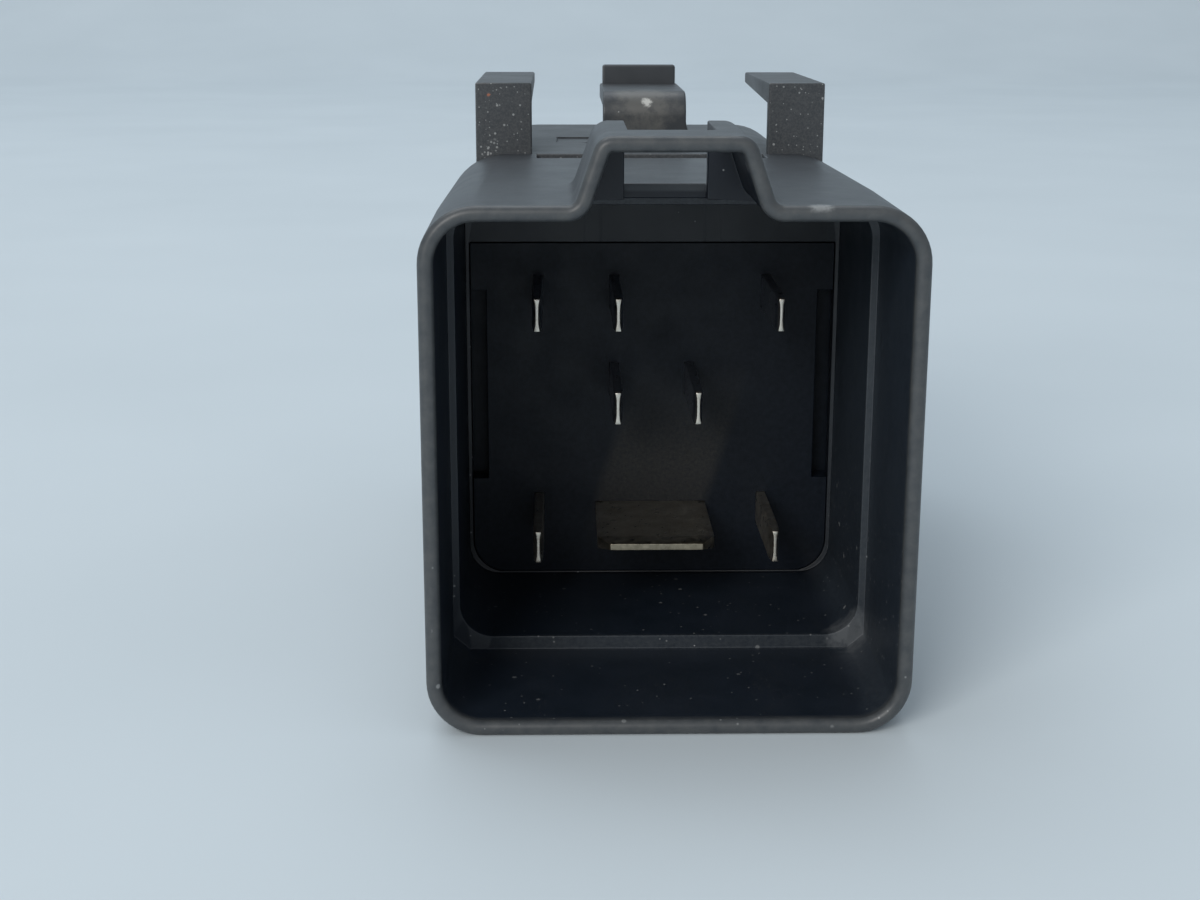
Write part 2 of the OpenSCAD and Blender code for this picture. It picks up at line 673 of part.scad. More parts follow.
module winding() color(copper) difference() {
    rod([0, coil_z], bobbin_d + cheek_t + fit, bobbin_end - cheek_t - fit, coil_od);
    rod([0, coil_z], bobbin_d, bobbin_end, core_d + 2 * tube_t + 2 * fit);
}

module coil_pins() color(tin)
    for (s = [-1, 1]) rod([s * coil_pin_x, coil_pin_z], board_back - 1.2, bobbin_d + cheek_t, pin_d);

// Close-wound extension spring whose end loops pass through the eyes of the lug and the armature
module return_spring() color(iron) {
    r = (spring_od - wire_d) / 2;
    d0 = lug_d + lug_t + loop_leg;
    d1 = hinge_d - loop_leg;
    turns = floor((d1 - d0) / wire_d);
    pitch = (d1 - d0) / turns;
    translate([0, rim_y + d0, spring_z]) rotate([-90, 0, 0]) rotate_extrude()
        for (i = [0:turns]) translate([r, i * pitch]) circle(d = pitch * 1.15, $fn = 24);
    loop0 = lug_d + r - wire_d / 2 - fit;
    loop1 = hinge_d + armature_t - r + wire_d / 2 + 2 * fit;
    for (e = [[loop0, d0, 0], [loop1, d1, 180]]) {
        translate([0, rim_y + e[0], spring_z]) rotate([0, 90, 0]) rotate([0, 0, 180 + e[2]])
            rotate_extrude(angle = 180) translate([r, 0]) circle(d = wire_d, $fn = 24);
        for (s = [-1, 1]) rod([0, spring_z + s * r], min(e[0], e[1]), max(e[0], e[1]), wire_d);
    }
}

// Bus bar with three prongs in the board and a pad for the fixed contact
module contact_bar() color(copper) {
    difference() {
        union() {
            across(-bar_w / 2, bar_w / 2) {
                translate([board_back + fit, bar_z]) square([pad_d - board_back - fit, bar_t]);
                translate([pad_d, contact_z - contact_d / 2 - 0.6])
                    square([bar_t, bar_z - contact_z + contact_d / 2 + 0.6]);
                intersection() {
                    translate([pad_d, bar_z]) circle(r = bar_t);
                    translate([pad_d, bar_z]) square(bar_t);
                }
            }
            block([-prong_pitch - prong_w / 2, prong_pitch + prong_w / 2], [board_back + fit, board_back + 1],
                [bar_z, bar_z + bar_t]);
        }
        rod([0, contact_z], pad_d - 1, pad_d + bar_t + 1, shank_d + 2 * fit);
    }
    for (s = [-1, 0, 1])
        block([s * prong_pitch - prong_w / 2, s * prong_pitch + prong_w / 2],
            [board_d - 0.8, board_back + 0.2], [bar_z, bar_z + bar_t]);
}

// Domed head of a contact, standing on Z = 0
module contact_head() rotate_extrude() intersection() {
    translate([0, contact_t - dome_r]) circle(r = dome_r);
    square([contact_d / 2, contact_t]);
}

module fixed_contact() color(silver) {
    translate([0, rim_y + pad_d + bar_t + fit, contact_z]) rotate([-90, 0, 0]) contact_head();
    rod([0, contact_z], pad_d - fit, pad_d + bar_t + fit + 0.3, shank_d);
    rod([0, contact_z], pad_d - fit - 0.3, pad_d - fit, shank_d + 0.9);
}

// Places the armature's own pieces at the angle of the open relay
module on_hinge(angle)
    translate([0, rim_y + hinge_d, yoke_z0]) rotate([-angle, 0, 0])
        translate([0, -rim_y - hinge_d, -yoke_z0]) children();

module armature() color(iron) on_hinge(armature_travel) difference() {
    union() {
        block([-armature_w / 2, armature_w / 2], [hinge_d, hinge_d + armature_t], [yoke_z0, armature_z1]);
        block([-tail_tab_w / 2, tail_tab_w / 2], [hinge_d, hinge_d + armature_t],
            [yoke_z0 - lug_h, yoke_z0 + 0.5]);
    }
    for (s = [-1, 1]) rod([s * rivet_x, rivet_z], hinge_d - 1, hinge_d + armature_t + 1, rivet_d + 2 * fit);
    rod([0, eye_z], hinge_d - 1, hinge_d + armature_t + 1, eye_d);
}

module contact_blade() color(copper) on_hinge(armature_travel) difference() {
    block([-leaf_w / 2, leaf_w / 2], [leaf_d, leaf_d + leaf_t],
        [coil_z - 2, contact_z + contact_d / 2 + 0.6]);
    for (s = [-1, 1]) rod([s * rivet_x, rivet_z], leaf_d - 1, leaf_d + leaf_t + 1, rivet_d + 2 * fit);
    rod([0, contact_z], leaf_d - 1, leaf_d + leaf_t + 1, shank_d + 2 * fit);
}

module blade_rivets() color(iron) on_hinge(armature_travel) for (s = [-1, 1]) {
    rod([s * rivet_x, rivet_z], hinge_d, leaf_d + leaf_t + fit + 0.1, rivet_d);
    rod([s * rivet_x, rivet_z], leaf_d + leaf_t + fit, leaf_d + leaf_t + fit + 0.5, rivet_d + 1);
}

module moving_contact() color(silver) on_hinge(armature_travel) {
    translate([0, rim_y + leaf_d - fit, contact_z]) rotate([90, 0, 0]) contact_head();
    rod([0, contact_z], leaf_d - fit - 0.3, leaf_d + leaf_t + fit, shank_d);
    rod([0, contact_z], leaf_d + leaf_t + fit, leaf_d + leaf_t + fit + 0.3, shank_d + 0.9);
}

connector_shroud();
rear_cover();
base_plate();
small_terminal(1);  // terminal_1
small_terminal(2);  // terminal_2
small_terminal(3);  // terminal_3
small_terminal(4);  // terminal_4
small_terminal(5);  // terminal_5
small_terminal(6);  // terminal_6
small_terminal(7);  // terminal_7
power_terminal();
circuit_board();
yoke();
core();
bobbin();
winding();
coil_pins();
return_spring();
contact_bar();
fixed_contact();
armature();
contact_blade();
blade_rivets();
moving_contact();
timer_chip();
storage_capacitor();
suppression_diode();
resistor(1);  // resistor_1
resistor(0);  // resistor_2
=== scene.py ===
"""Looks of the plug-in automotive relay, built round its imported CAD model.

Shapes are written in millimetres, in the frame's axes, with depths measured back from the
shroud's rim. The mesh builders turn them into metres.
"""

import json
import math
from collections import namedtuple

import bmesh
import bpy
from mathutils import Matrix, Vector


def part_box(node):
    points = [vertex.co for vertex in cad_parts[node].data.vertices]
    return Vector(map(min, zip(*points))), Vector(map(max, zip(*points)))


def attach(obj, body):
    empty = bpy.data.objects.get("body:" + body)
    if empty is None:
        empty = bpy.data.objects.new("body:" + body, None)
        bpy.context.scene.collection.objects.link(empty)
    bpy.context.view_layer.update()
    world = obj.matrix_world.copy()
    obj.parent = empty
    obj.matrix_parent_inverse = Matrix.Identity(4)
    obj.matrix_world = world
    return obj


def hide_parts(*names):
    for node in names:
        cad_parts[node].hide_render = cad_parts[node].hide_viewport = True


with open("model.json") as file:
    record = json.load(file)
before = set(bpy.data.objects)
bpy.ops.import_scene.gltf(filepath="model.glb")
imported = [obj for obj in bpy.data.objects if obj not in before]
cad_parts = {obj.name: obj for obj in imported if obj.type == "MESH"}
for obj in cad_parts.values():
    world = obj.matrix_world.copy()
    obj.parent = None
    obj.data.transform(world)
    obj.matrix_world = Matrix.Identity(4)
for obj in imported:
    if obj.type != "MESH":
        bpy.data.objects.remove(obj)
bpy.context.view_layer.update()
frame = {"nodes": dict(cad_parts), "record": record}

MM = 0.001


def box_mm(node):
    """Lowest and highest corner of a CAD node, in millimetres."""
    low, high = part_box(node)
    return low / MM, high / MM


# ---- Sizes, from the CAD nodes and the part's own named values ----

shroud_low, shroud_high = box_mm("connector_shroud")
cover_high = box_mm("rear_cover")[1]

# Shroud and rear cover
RIM_Y = shroud_low.y
BODY_W = shroud_high.x - shroud_low.x
BODY_H = 38.0
SEAM = shroud_high.y - RIM_Y
BODY_L = cover_high.y - RIM_Y
CORNER_R = 4.0
WALL = 1.1
CASE_W = 30.0
CASE_R = 5.0
SEAM_R = 5.0
COVER_WALL = 1.3
BACK_T = 1.6
BACK_R = 1.5

# Key on the mouth, and the lock window in its roof
KEY_TOP = shroud_high.z
KEY_FOOT_W = 13.6
KEY_TOP_W = 10.4
KEY_L = 13.7
KEY_R = 1.4
KEY_FOOT_R = 0.7
KEY_FADE = 0.35  # how far in from its foot the key's back is left sharp
KEY_BRIDGE = 5.4
LOCK_W = 6.1

# Socket, from the ledge where it narrows to its floor
LEDGE = 14.7
FACET_X = 15.07
FACET_Z = 1.91
FACET_SPLIT = 0.61
LEDGE_W = 0.6
LEDGE_LOW_W = 1.1
SOCKET_X = BODY_W / 2 - WALL - LEDGE_W
SOCKET_Z0 = WALL + LEDGE_LOW_W
SOCKET_Z1 = BODY_H - WALL - LEDGE_W
SOCKET_R = 2.6
FLOOR = 30.5

# Terminal plate: its face stands in the socket's floor, and its flange lies behind it
FIT = 0.05
FACE_T = 1.5
PLATE_X = SOCKET_X - 0.4
PLATE_Z0 = SOCKET_Z0 + 0.15
PLATE_Z1 = 31.2
PLATE_R = 2.8
PLATE_TOP_R = 0.15
PLATE_GAP = 0.05
SLOT_GAP = 0.01
SLOT_RIM = 0.2
RECESS_W = 1.3
RECESS_L = 2.2
RECESS_Z = (10.8, 27.2)
FLANGE = FLOOR + FACE_T + FIT
FLANGE_T = 1.5
FLANGE_GAP = 0.1
FLANGE_R = 2.8
FACE_ROOT = 0.7
BEHIND_PLATE = FLANGE + FLANGE_T + FIT

# Seam: notch, side windows, and the spigot with its nubs
NOTCH_W = 19.4
NOTCH_L = 3.6
SNAP_DEPTH = (33.75, 35.65)
SNAP_W = 12.1
SPIGOT_FIT = 0.08
SPIGOT_T = 0.9
STEP_T = 1.4
NECK_L = 3.3
NUB_START, NUB_CREST, NUB_END = 33.8, 35.1, 35.6
NUB_ROOT = 0.45
NUB_LOW, NUB_HIGH = 0.1, 0.8
NUB_W = 12.0

# Hook rails
HOOK_X = 12.55
HOOK_W = 4.8
HOOK_TOP = BODY_H + 6.0
HOOK_POST = 1.3
HOOK_L = 21.0
HOOK_GAP = 4.2
HOOK_DROP = 0.15
HOOK_TIP = 1.0

# Latch with its finger tab, and the relief in the cover below it
LATCH = 47.0
LATCH_W = 7.6
LATCH_TOP = BODY_H + 4.6
LATCH_T = 1.5
LATCH_R = 2.2
LATCH_L = 14.5
TAB_W = 7.1
TAB_T = 1.3
TAB_TOP = cover_high.z
FLARE_R = 2.0
FLARE_ROOT = 0.5
RELIEF_W = 16.0
RELIEF_DEPTH = (LATCH + 1.0, LATCH + 6.5)
RELIEF_T = 0.15

# Blades: the coin thins the middle of a tip to coined, and flare is the share of the thickness it
# takes there that the tip's edges keep. corner is cut off the tip's corners, and shoulder is how
# far the shoulders stand out behind the plate.
Blade = namedtuple("Blade", "width thick coined flare corner shoulder tail_w tail_end")
NARROW = Blade(
    width=2.8,
    thick=0.8,
    coined=0.24,
    flare=0.55,
    corner=0.12,
    shoulder=0.6,
    tail_w=1.2,
    tail_end=box_mm("terminal_1")[1].y - RIM_Y,
)
WIDE = Blade(
    width=9.5,
    thick=1.2,
    coined=0.52,
    flare=0.1,
    corner=1.0,
    shoulder=0.8,
    tail_w=6.0,
    tail_end=box_mm("power_terminal")[1].y - RIM_Y,
)
COLUMN = 6.4
ROWS = (8.1, 19.6, 27.1)
BLADES = ((-1.5, 2), (-0.5, 2), (1.5, 2), (-0.5, 1), (0.5, 1), (-1.5, 0), (1.5, 0))
NARROW_PLACES = [(column * COLUMN, ROWS[row]) for column, row in BLADES]
WIDE_PLACE = (0.0, ROWS[0])
TIP = 19.2
TIP_L = 1.4
# (distance behind the tip, share of the coining there)
COIN = ((0.0, 1.0), (0.06, 1.0), (0.5, 0.62), (1.0, 0.18), (TIP_L, 0.0))
COIN_POWER = 4
COIN_STEPS = 10
BLADE_EDGE = 0.86
SHOULDER = (BEHIND_PLATE, BEHIND_PLATE + 1.2)
TAIL_ROOT = 0.3

# Widths of the softened edges, and the angle in degrees above which an edge counts as sharp
EDGE = {
    "shroud": 0.13,
    "cover": 0.14,
    "nub": 0.08,
    "hook": 0.16,
    "latch": 0.2,
    "flare": 0.15,
    "tab": 0.22,
    "plate": 0.07,
    "blade": 0.05,
}
EDGE_SEGMENTS = 2
SHARP = 38
FLARE_SHARP = 60
BLADE_SHARP = 50

OVER = 1.0  # how far a cutter or a root reaches past its neighbour's face
SLIVER = 0.02  # step that keeps two faces from coinciding

# ---- Outlines: lists of (x, z) points, in millimetres ----

STEPS = 12
CORNER = STEPS + 1  # points on one rounded corner


def turn_at(points, i):
    """Heading of the side that leaves corner i, and how far the outline turns there."""
    before, here, after = points[i - 1], points[i], points[(i + 1) % len(points)]
    out = math.atan2(after[1] - here[1], after[0] - here[0])
    come = math.atan2(here[1] - before[1], here[0] - before[0])
    turn = (out - come + math.pi) % (2 * math.pi) - math.pi
    return out, turn


def outline(points, radii, inset=0.0):
    """The outline through points with rounded corners, moved inwards about the corners' centres."""
    ring = []
    for i, (x, z) in enumerate(points):
        out, turn = turn_at(points, i)
        side = 1 if turn > 0 else -1
        cut = radii[i] * math.tan(abs(turn) / 2)
        centre_x = x + cut * math.cos(out) - side * radii[i] * math.sin(out)
        centre_z = z + cut * math.sin(out) + side * radii[i] * math.cos(out)
        for k in range(CORNER):
            angle = out - side * math.pi / 2 - turn * (1 - k / STEPS)
            reach = radii[i] - side * inset
            ring.append((centre_x + reach * math.cos(angle), centre_z + reach * math.sin(angle)))
    return ring


def rectangle(half_width, low, high):
    return [(-half_width, low), (half_width, low), (half_width, high), (-half_width, high)]


BODY = rectangle(BODY_W / 2, 0, BODY_H)
MOUTH = BODY[:3] + [
    (KEY_FOOT_W / 2, BODY_H),
    (KEY_TOP_W / 2, KEY_TOP),
    (-KEY_TOP_W / 2, KEY_TOP),
    (-KEY_FOOT_W / 2, BODY_H),
    BODY[3],
]
MOUTH_RADII = [CORNER_R] * 3 + [KEY_FOOT_R, KEY_R, KEY_R, KEY_FOOT_R, CORNER_R]


def rounded_box(half_width, low, high, radii):
    return outline(rectangle(half_width, low, high), radii)


def keyed_ring(inset=0.0):
    """Outline of the mouth and its key."""
    return outline(MOUTH, MOUTH_RADII, inset)


def flat_ring(ring, inset=0.0):
    """A four-cornered ring with points added to its top side, one under each point of the key."""
    top = ring[2 * CORNER + STEPS][1]
    key = keyed_ring(inset)[3 * CORNER : 7 * CORNER]
    return ring[: 3 * CORNER] + [(x, top) for x, z in key] + ring[3 * CORNER :]


def body_ring(inset=0.0):
    return outline(BODY, [CORNER_R] * 4, inset)


def case_ring(inset=0.0):
    """Outline of the rear cover, narrower than the shroud."""
    return rounded_box(CASE_W / 2 - inset, inset, BODY_H - inset, [CASE_R - inset] * 4)


def plate_ring(grow=0.0):
    radii = [PLATE_R + grow] * 2 + [PLATE_TOP_R] * 2
    return rounded_box(PLATE_X + grow, PLATE_Z0 - grow, PLATE_Z1 + grow, radii)


# ---- Mesh builders ----

MERGE_MM = 1e-4  # points nearer than this, in millimetres, are one
MERGE = 2e-6  # the same for finished meshes, in metres
SAME = 1e-6  # metres
FLAT = math.radians(0.2)


def make_object(name, bm):
    """Object from a bmesh written in millimetres, with depths as Y."""
    bmesh.ops.remove_doubles(bm, verts=bm.verts, dist=MERGE_MM)
    bmesh.ops.recalc_face_normals(bm, faces=bm.faces)
    for v in bm.verts:
        v.co = Vector((v.co.x, v.co.y + RIM_Y, v.co.z)) * MM
    mesh = bpy.data.meshes.new(name)
    bm.to_mesh(mesh)
    bm.free()
    obj = bpy.data.objects.new(name, mesh)
    bpy.context.scene.collection.objects.link(obj)
    return obj


def add_loft(bm, rings, closed=False):
    """Skin through rings of (x, depth, z) points: capped at both ends, or closed on itself."""
    rows = [[bm.verts.new(p) for p in ring] for ring in rings]
    count = len(rows[0])
    pairs = list(zip(rows, rows[1:]))
    if closed:
        pairs.append((rows[-1], rows[0]))
    for a, b in pairs:
        for i in range(count):
            j = (i + 1) % count
            bm.faces.new((a[i], a[j], b[j], b[i]))
    if not closed:
        bm.faces.new(rows[0])
        bm.faces.new(reversed(rows[-1]))


def loft(name, profile, closed=False):
    """Object skinned through (outline, depth) pairs."""
    bm = bmesh.new()
    add_loft(bm, [[(x, depth, z) for x, z in ring] for ring, depth in profile], closed)
    return make_object(name, bm)


def block(name, x, depth, z):
    """Box given its limits across, in depth and in height."""
    ring = [(x[0], z[0]), (x[1], z[0]), (x[1], z[1]), (x[0], z[1])]
    return loft(name, [(ring, depth[0]), (ring, depth[1])])


def across(name, points, x):
    """Solid with the (depth, z) outline points, from x[0] to x[1]."""
    bm = bmesh.new()
    add_loft(bm, [[(side, depth, z) for depth, z in points] for side in x])
    return make_object(name, bm)


def combine(obj, others, operation="UNION"):
    """Joins the other solids to obj, or cuts them out of it, and deletes them."""
    for other in others:
        step = obj.modifiers.new("combine", "BOOLEAN")
        step.object = other
        step.operation = operation
        step.solver = "EXACT"
    apply_modifiers(obj)
    for other in others:
        bpy.data.objects.remove(other)
    return obj


def apply_modifiers(obj):
    graph = bpy.context.evaluated_depsgraph_get()
    mesh = bpy.data.meshes.new_from_object(obj.evaluated_get(graph))
    obj.modifiers.clear()
    obj.data = mesh


def tidy_mesh(obj, rims=()):
    """Merges doubled points and flat neighbouring faces.

    The edges that cut a ring-shaped face at one of the depths in rims are kept.
    """
    bm = bmesh.new()
    bm.from_mesh(obj.data)
    bmesh.ops.remove_doubles(bm, verts=bm.verts, dist=MERGE)
    bmesh.ops.dissolve_degenerate(bm, edges=bm.edges, dist=SAME)
    levels = [(rim + RIM_Y) * MM for rim in rims]
    edges = [e for e in bm.edges if not any(lies_at(e, level) for level in levels)]
    bmesh.ops.dissolve_limit(
        bm, angle_limit=FLAT, verts=[], edges=edges, use_dissolve_boundaries=False
    )
    bmesh.ops.recalc_face_normals(bm, faces=bm.faces)
    bm.to_mesh(obj.data)
    bm.free()


def lies_at(edge, level):
    return all(abs(v.co.y - level) < SAME for v in edge.verts)


def soften(obj, width, angle=SHARP, leave=None):
    """Rounds the sharp edges by width millimetres, but not those whose middle leave() accepts."""
    bm = bmesh.new()
    bm.from_mesh(obj.data)
    edges = []
    for edge in bm.edges:
        if len(edge.link_faces) != 2 or edge.calc_face_angle(0.0) < math.radians(angle):
            continue
        middle = (edge.verts[0].co + edge.verts[1].co) / 2 / MM
        if leave and leave(middle.x, middle.y - RIM_Y, middle.z):
            continue
        edges.append(edge)
    bmesh.ops.bevel(
        bm,
        geom=edges,
        offset=width * MM,
        offset_type="OFFSET",
        segments=EDGE_SEGMENTS,
        profile=0.5,
        affect="EDGES",
        clamp_overlap=False,
    )
    bm.to_mesh(obj.data)
    bm.free()
    shade(obj)
    return obj


def shade(obj):
    """Smooth shading that keeps large flats flat and sharp creases sharp."""
    for face in obj.data.polygons:
        face.use_smooth = True
    obj.data.set_sharp_from_angle(angle=math.radians(SHARP))
    step = obj.modifiers.new("flats", "WEIGHTED_NORMAL")
    step.keep_sharp = True
    step.weight = 100


def gather(obj, others):
    """Adds other closed solids to obj's mesh."""
    bm = bmesh.new()
    bm.from_mesh(obj.data)
    for other in others:
        bm.from_mesh(other.data)
        bpy.data.objects.remove(other)
    bm.to_mesh(obj.data)
    bm.free()
    obj.modifiers.clear()
    shade(obj)
    return obj


# ---- Shroud ----


def lip_profile():
    """(inset, depth) points over the full-round lip, from the outer wall to the inner one."""
    half = WALL / 2
    steps = 14
    points = []
    for k in range(steps + 1):
        angle = math.pi * k / steps
        points.append((half - half * math.cos(angle), half - half * math.sin(angle)))
    return points


def wall_ring(depth):
    """Inner wall in front of the ledge. Its lower corners turn from arcs into facets with depth."""
    ring = keyed_ring(WALL)
    share = max(0.0, (depth - WALL / 2) / (LEDGE - WALL / 2))
    arc_x = BODY_W / 2 - CORNER_R
    for k in range(CORNER):
        t = k / STEPS
        if t <= FACET_SPLIT:
            aim = (arc_x + (FACET_X - arc_x) * t / FACET_SPLIT, WALL)
        else:
            rest = (t - FACET_SPLIT) / (1 - FACET_SPLIT)
            aim = (BODY_W / 2 - WALL, FACET_Z + (CORNER_R - FACET_Z) * rest)
        x, z = ring[CORNER + k]
        x += (aim[0] - x) * share
        z += (aim[1] - z) * share
        ring[CORNER + k] = (x, z)
        ring[STEPS - k] = (-x, z)
    return ring


def make_shroud():
    """One skin: key and lip outside, the socket inside, the plate's seat and the seam."""
    inner = wall_ring(KEY_L - WALL)
    ledge = wall_ring(LEDGE)
    flat_top = BODY_H - WALL
    socket = flat_ring(rounded_box(SOCKET_X, SOCKET_Z0, SOCKET_Z1, [SOCKET_R] * 4), WALL)
    hole = flat_ring(plate_ring(PLATE_GAP), WALL)
    seat = flat_ring(body_ring(WALL), WALL)
    rear = flat_ring(rounded_box(BODY_W / 2, 0, BODY_H, [SEAM_R] * 4))
    outer = flat_ring(body_ring())
    profile = [(keyed_ring(), KEY_L)]
    profile += [(keyed_ring(inset), depth) for inset, depth in lip_profile()]
    profile += [
        (inner, KEY_L - WALL),
        ([(x, min(z, flat_top)) for x, z in inner], KEY_L - WALL),
        ([(x, min(z, flat_top)) for x, z in ledge], LEDGE),
        (socket, LEDGE),
        (socket, FLOOR),
        (hole, FLOOR),
        (hole, FLOOR + FACE_T),
        (seat, FLOOR + FACE_T),
        (seat, SEAM),
        (rear, SEAM),
        (outer, KEY_L),
    ]
    obj = loft("shroud", profile, closed=True)
    combine(obj, shroud_cuts(flat_top - OVER), "DIFFERENCE")
    tidy_mesh(obj, (LEDGE, FLOOR, FLOOR + FACE_T, SEAM))
    return soften(obj, EDGE["shroud"], leave=at_key_foot)


def shroud_cuts(low):
    """Cutters for the lock window, the notch and the two side windows."""
    lock = (-LOCK_W / 2, LOCK_W / 2)
    notch = (-NOTCH_W / 2, NOTCH_W / 2)
    snap_z = (BODY_H / 2 - SNAP_W / 2, BODY_H / 2 + SNAP_W / 2)
    cuts = [
        block("window", lock, (KEY_BRIDGE, KEY_L + SLIVER), (low, KEY_TOP + OVER)),
        block("notch", notch, (SEAM - NOTCH_L, SEAM + OVER), (low, BODY_H + OVER)),
    ]
    for side in (-1, 1):
        limits = sorted((side * (BODY_W / 2 - WALL - OVER), side * (BODY_W / 2 + OVER)))
        cuts.append(block("snap_window", limits, SNAP_DEPTH, snap_z))
    return cuts


def at_key_foot(x, depth, z):
    """Where the key's back fades into the top, too thin to round."""
    near = 0.1
    fades = abs(x) > KEY_FOOT_W / 2 - KEY_FADE and z > BODY_H - near
    return fades and abs(depth - KEY_L) < near


# ---- Rear cover ----


def make_shell():
    """Closed-back box with a rounded back edge."""
    arc = 8
    inner = case_ring(COVER_WALL)
    profile = [(inner, BODY_L - BACK_T), (inner, SEAM), (case_ring(), SEAM)]
    for k in range(arc + 1):
        angle = math.pi / 2 * k / arc
        inset = BACK_R * (1 - math.cos(angle))
        profile.append((case_ring(inset), BODY_L - BACK_R + BACK_R * math.sin(angle)))
    return loft("shell", profile)


def make_spigot():
    """Ring inside the shroud, the step flush with the seam, and the neck that enters the cover."""
    low = WALL + SPIGOT_FIT
    wide = BODY_W / 2 - low
    narrow = CASE_W / 2 - low

    def ring(half, radius, inset):
        radii = [radius - low - inset] * 4
        return rounded_box(half - inset, low + inset, BODY_H - low - inset, radii)

    profile = [
        (ring(wide, CORNER_R, 0), BEHIND_PLATE),
        (ring(wide, CORNER_R, 0), SEAM),
        (ring(narrow, CASE_R, 0), SEAM),
        (ring(narrow, CASE_R, 0), SEAM + NECK_L),
        (ring(narrow, CASE_R, SPIGOT_T), SEAM + NECK_L),
        (ring(narrow, CASE_R, SPIGOT_T), SEAM - STEP_T),
        (ring(wide, CORNER_R, SPIGOT_T), SEAM - STEP_T),
        (ring(wide, CORNER_R, SPIGOT_T), BEHIND_PLATE),
    ]
    return loft("spigot", profile, closed=True)


def make_nub(side):
    """Wedge on the spigot that stands in the shroud's side window."""
    x = BODY_W / 2 - WALL - SPIGOT_FIT
    ring = [
        (x - NUB_ROOT, NUB_START),
        (x + NUB_LOW, NUB_START),
        (x + NUB_HIGH, NUB_CREST),
        (x + NUB_HIGH, NUB_END),
        (x - NUB_ROOT, NUB_END),
    ]
    ends = (BODY_H / 2 - NUB_W / 2, BODY_H / 2 + NUB_W / 2)
    bm = bmesh.new()
    add_loft(bm, [[(side * px, depth, z) for px, depth in ring] for z in ends])
    return soften(make_object("nub", bm), EDGE["nub"])


def make_hook(side):
    """Front wall with an arm that runs back and thins towards its tip."""
    end = SEAM + HOOK_L
    root = BODY_H - CASE_R
    points = [
        (SEAM, root),
        (SEAM, HOOK_TOP),
        (end, HOOK_TOP - HOOK_DROP),
        (end, HOOK_TOP - HOOK_DROP - HOOK_TIP),
        (SEAM + HOOK_POST, BODY_H + HOOK_GAP),
        (SEAM + HOOK_POST, root),
    ]
    hook = across("hook", points, (side * HOOK_X - HOOK_W / 2, side * HOOK_X + HOOK_W / 2))
    return soften(hook, EDGE["hook"])


def make_latch():
    """Leg that bends back into a beam, in one profile."""
    root = BODY_H - COVER_WALL / 2
    bend_depth, bend_z = LATCH + LATCH_R, LATCH_TOP - LATCH_R
    arc = 10
    outer, inner = [], []
    for k in range(arc + 1):
        angle = math.pi - math.pi / 2 * k / arc
        for points, radius in ((outer, LATCH_R), (inner, LATCH_R - LATCH_T)):
            point = (bend_depth + radius * math.cos(angle), bend_z + radius * math.sin(angle))
            points.append(point)
    end = LATCH + LATCH_L
    points = [(LATCH, root)] + outer + [(end, LATCH_TOP), (end, LATCH_TOP - LATCH_T)]
    points += inner[::-1] + [(LATCH + LATCH_T, root)]
    return soften(across("latch", points, (-LATCH_W / 2, LATCH_W / 2)), EDGE["latch"])


def make_flare(side):
    """Concave fillet at the side of the latch's foot."""
    arc = 8
    foot = side * LATCH_W / 2
    root = foot - side * FLARE_ROOT
    low = BODY_H - FLARE_ROOT
    points = [(root, low), (foot + side * FLARE_R, low)]
    for k in range(arc + 1):
        angle = math.pi / 2 * k / arc
        x = foot + side * FLARE_R * (1 - math.sin(angle))
        points.append((x, BODY_H + FLARE_R * (1 - math.cos(angle))))
    points.append((root, BODY_H + FLARE_R))
    flare = loft("flare", [(points, LATCH + SLIVER), (points, LATCH + LATCH_T - SLIVER)])
    return soften(flare, EDGE["flare"], angle=FLARE_SHARP)


def make_tab():
    """Finger tab at the end of the latch's beam."""
    end = LATCH + LATCH_L
    depth = (end - TAB_T, end - SLIVER)
    tab = block("tab", (-TAB_W / 2, TAB_W / 2), depth, (LATCH_TOP - OVER, TAB_TOP))
    return soften(tab, EDGE["tab"])


def make_cover():
    """Shell with a shallow relief, and every form that stands on it or enters the shroud."""
    obj = make_shell()
    obj.name = "cover"
    top = (BODY_H - RELIEF_T, BODY_H + OVER)
    relief = block("relief", (-RELIEF_W / 2, RELIEF_W / 2), RELIEF_DEPTH, top)
    combine(obj, [relief], "DIFFERENCE")
    tidy_mesh(obj, (SEAM,))
    soften(obj, EDGE["cover"])
    parts = [make_latch(), make_flare(-1), make_flare(1), make_tab(), make_hook(-1), make_hook(1)]
    return gather(obj, parts + [make_spigot(), make_nub(-1), make_nub(1)])


# ---- Terminal plate ----

# (x, z, width, height) of each blade's slot
SLOTS = [(x, z, NARROW.thick, NARROW.width) for x, z in NARROW_PLACES]
SLOTS.append((*WIDE_PLACE, WIDE.width, WIDE.thick))


def make_plate():
    """Face with a slot for each blade and a recess at each side, and the flange behind it."""
    ring = plate_ring()
    low = WALL + FLANGE_GAP
    flange = rounded_box(BODY_W / 2 - low, low, BODY_H - low, [FLANGE_R] * 4)
    obj = loft("plate", [(ring, FLOOR), (ring, FLANGE + FACE_ROOT)])
    combine(obj, [loft("flange", [(flange, FLANGE), (flange, FLANGE + FLANGE_T)])])
    cuts = [blade_slot(*slot) for slot in SLOTS]
    for side in (-1, 1):
        limits = sorted((side * (PLATE_X - RECESS_W), side * (PLATE_X + OVER)))
        cuts.append(block("recess", limits, (FLOOR - OVER, FLOOR + RECESS_L), RECESS_Z))
    combine(obj, cuts, "DIFFERENCE")
    tidy_mesh(obj)
    return soften(obj, EDGE["plate"], leave=at_slot)


def blade_slot(x, z, wide, high):
    limits_x = (x - wide / 2 - SLOT_GAP, x + wide / 2 + SLOT_GAP)
    limits_z = (z - high / 2 - SLOT_GAP, z + high / 2 + SLOT_GAP)
    return block("slot", limits_x, (FLOOR - OVER, BEHIND_PLATE + OVER), limits_z)


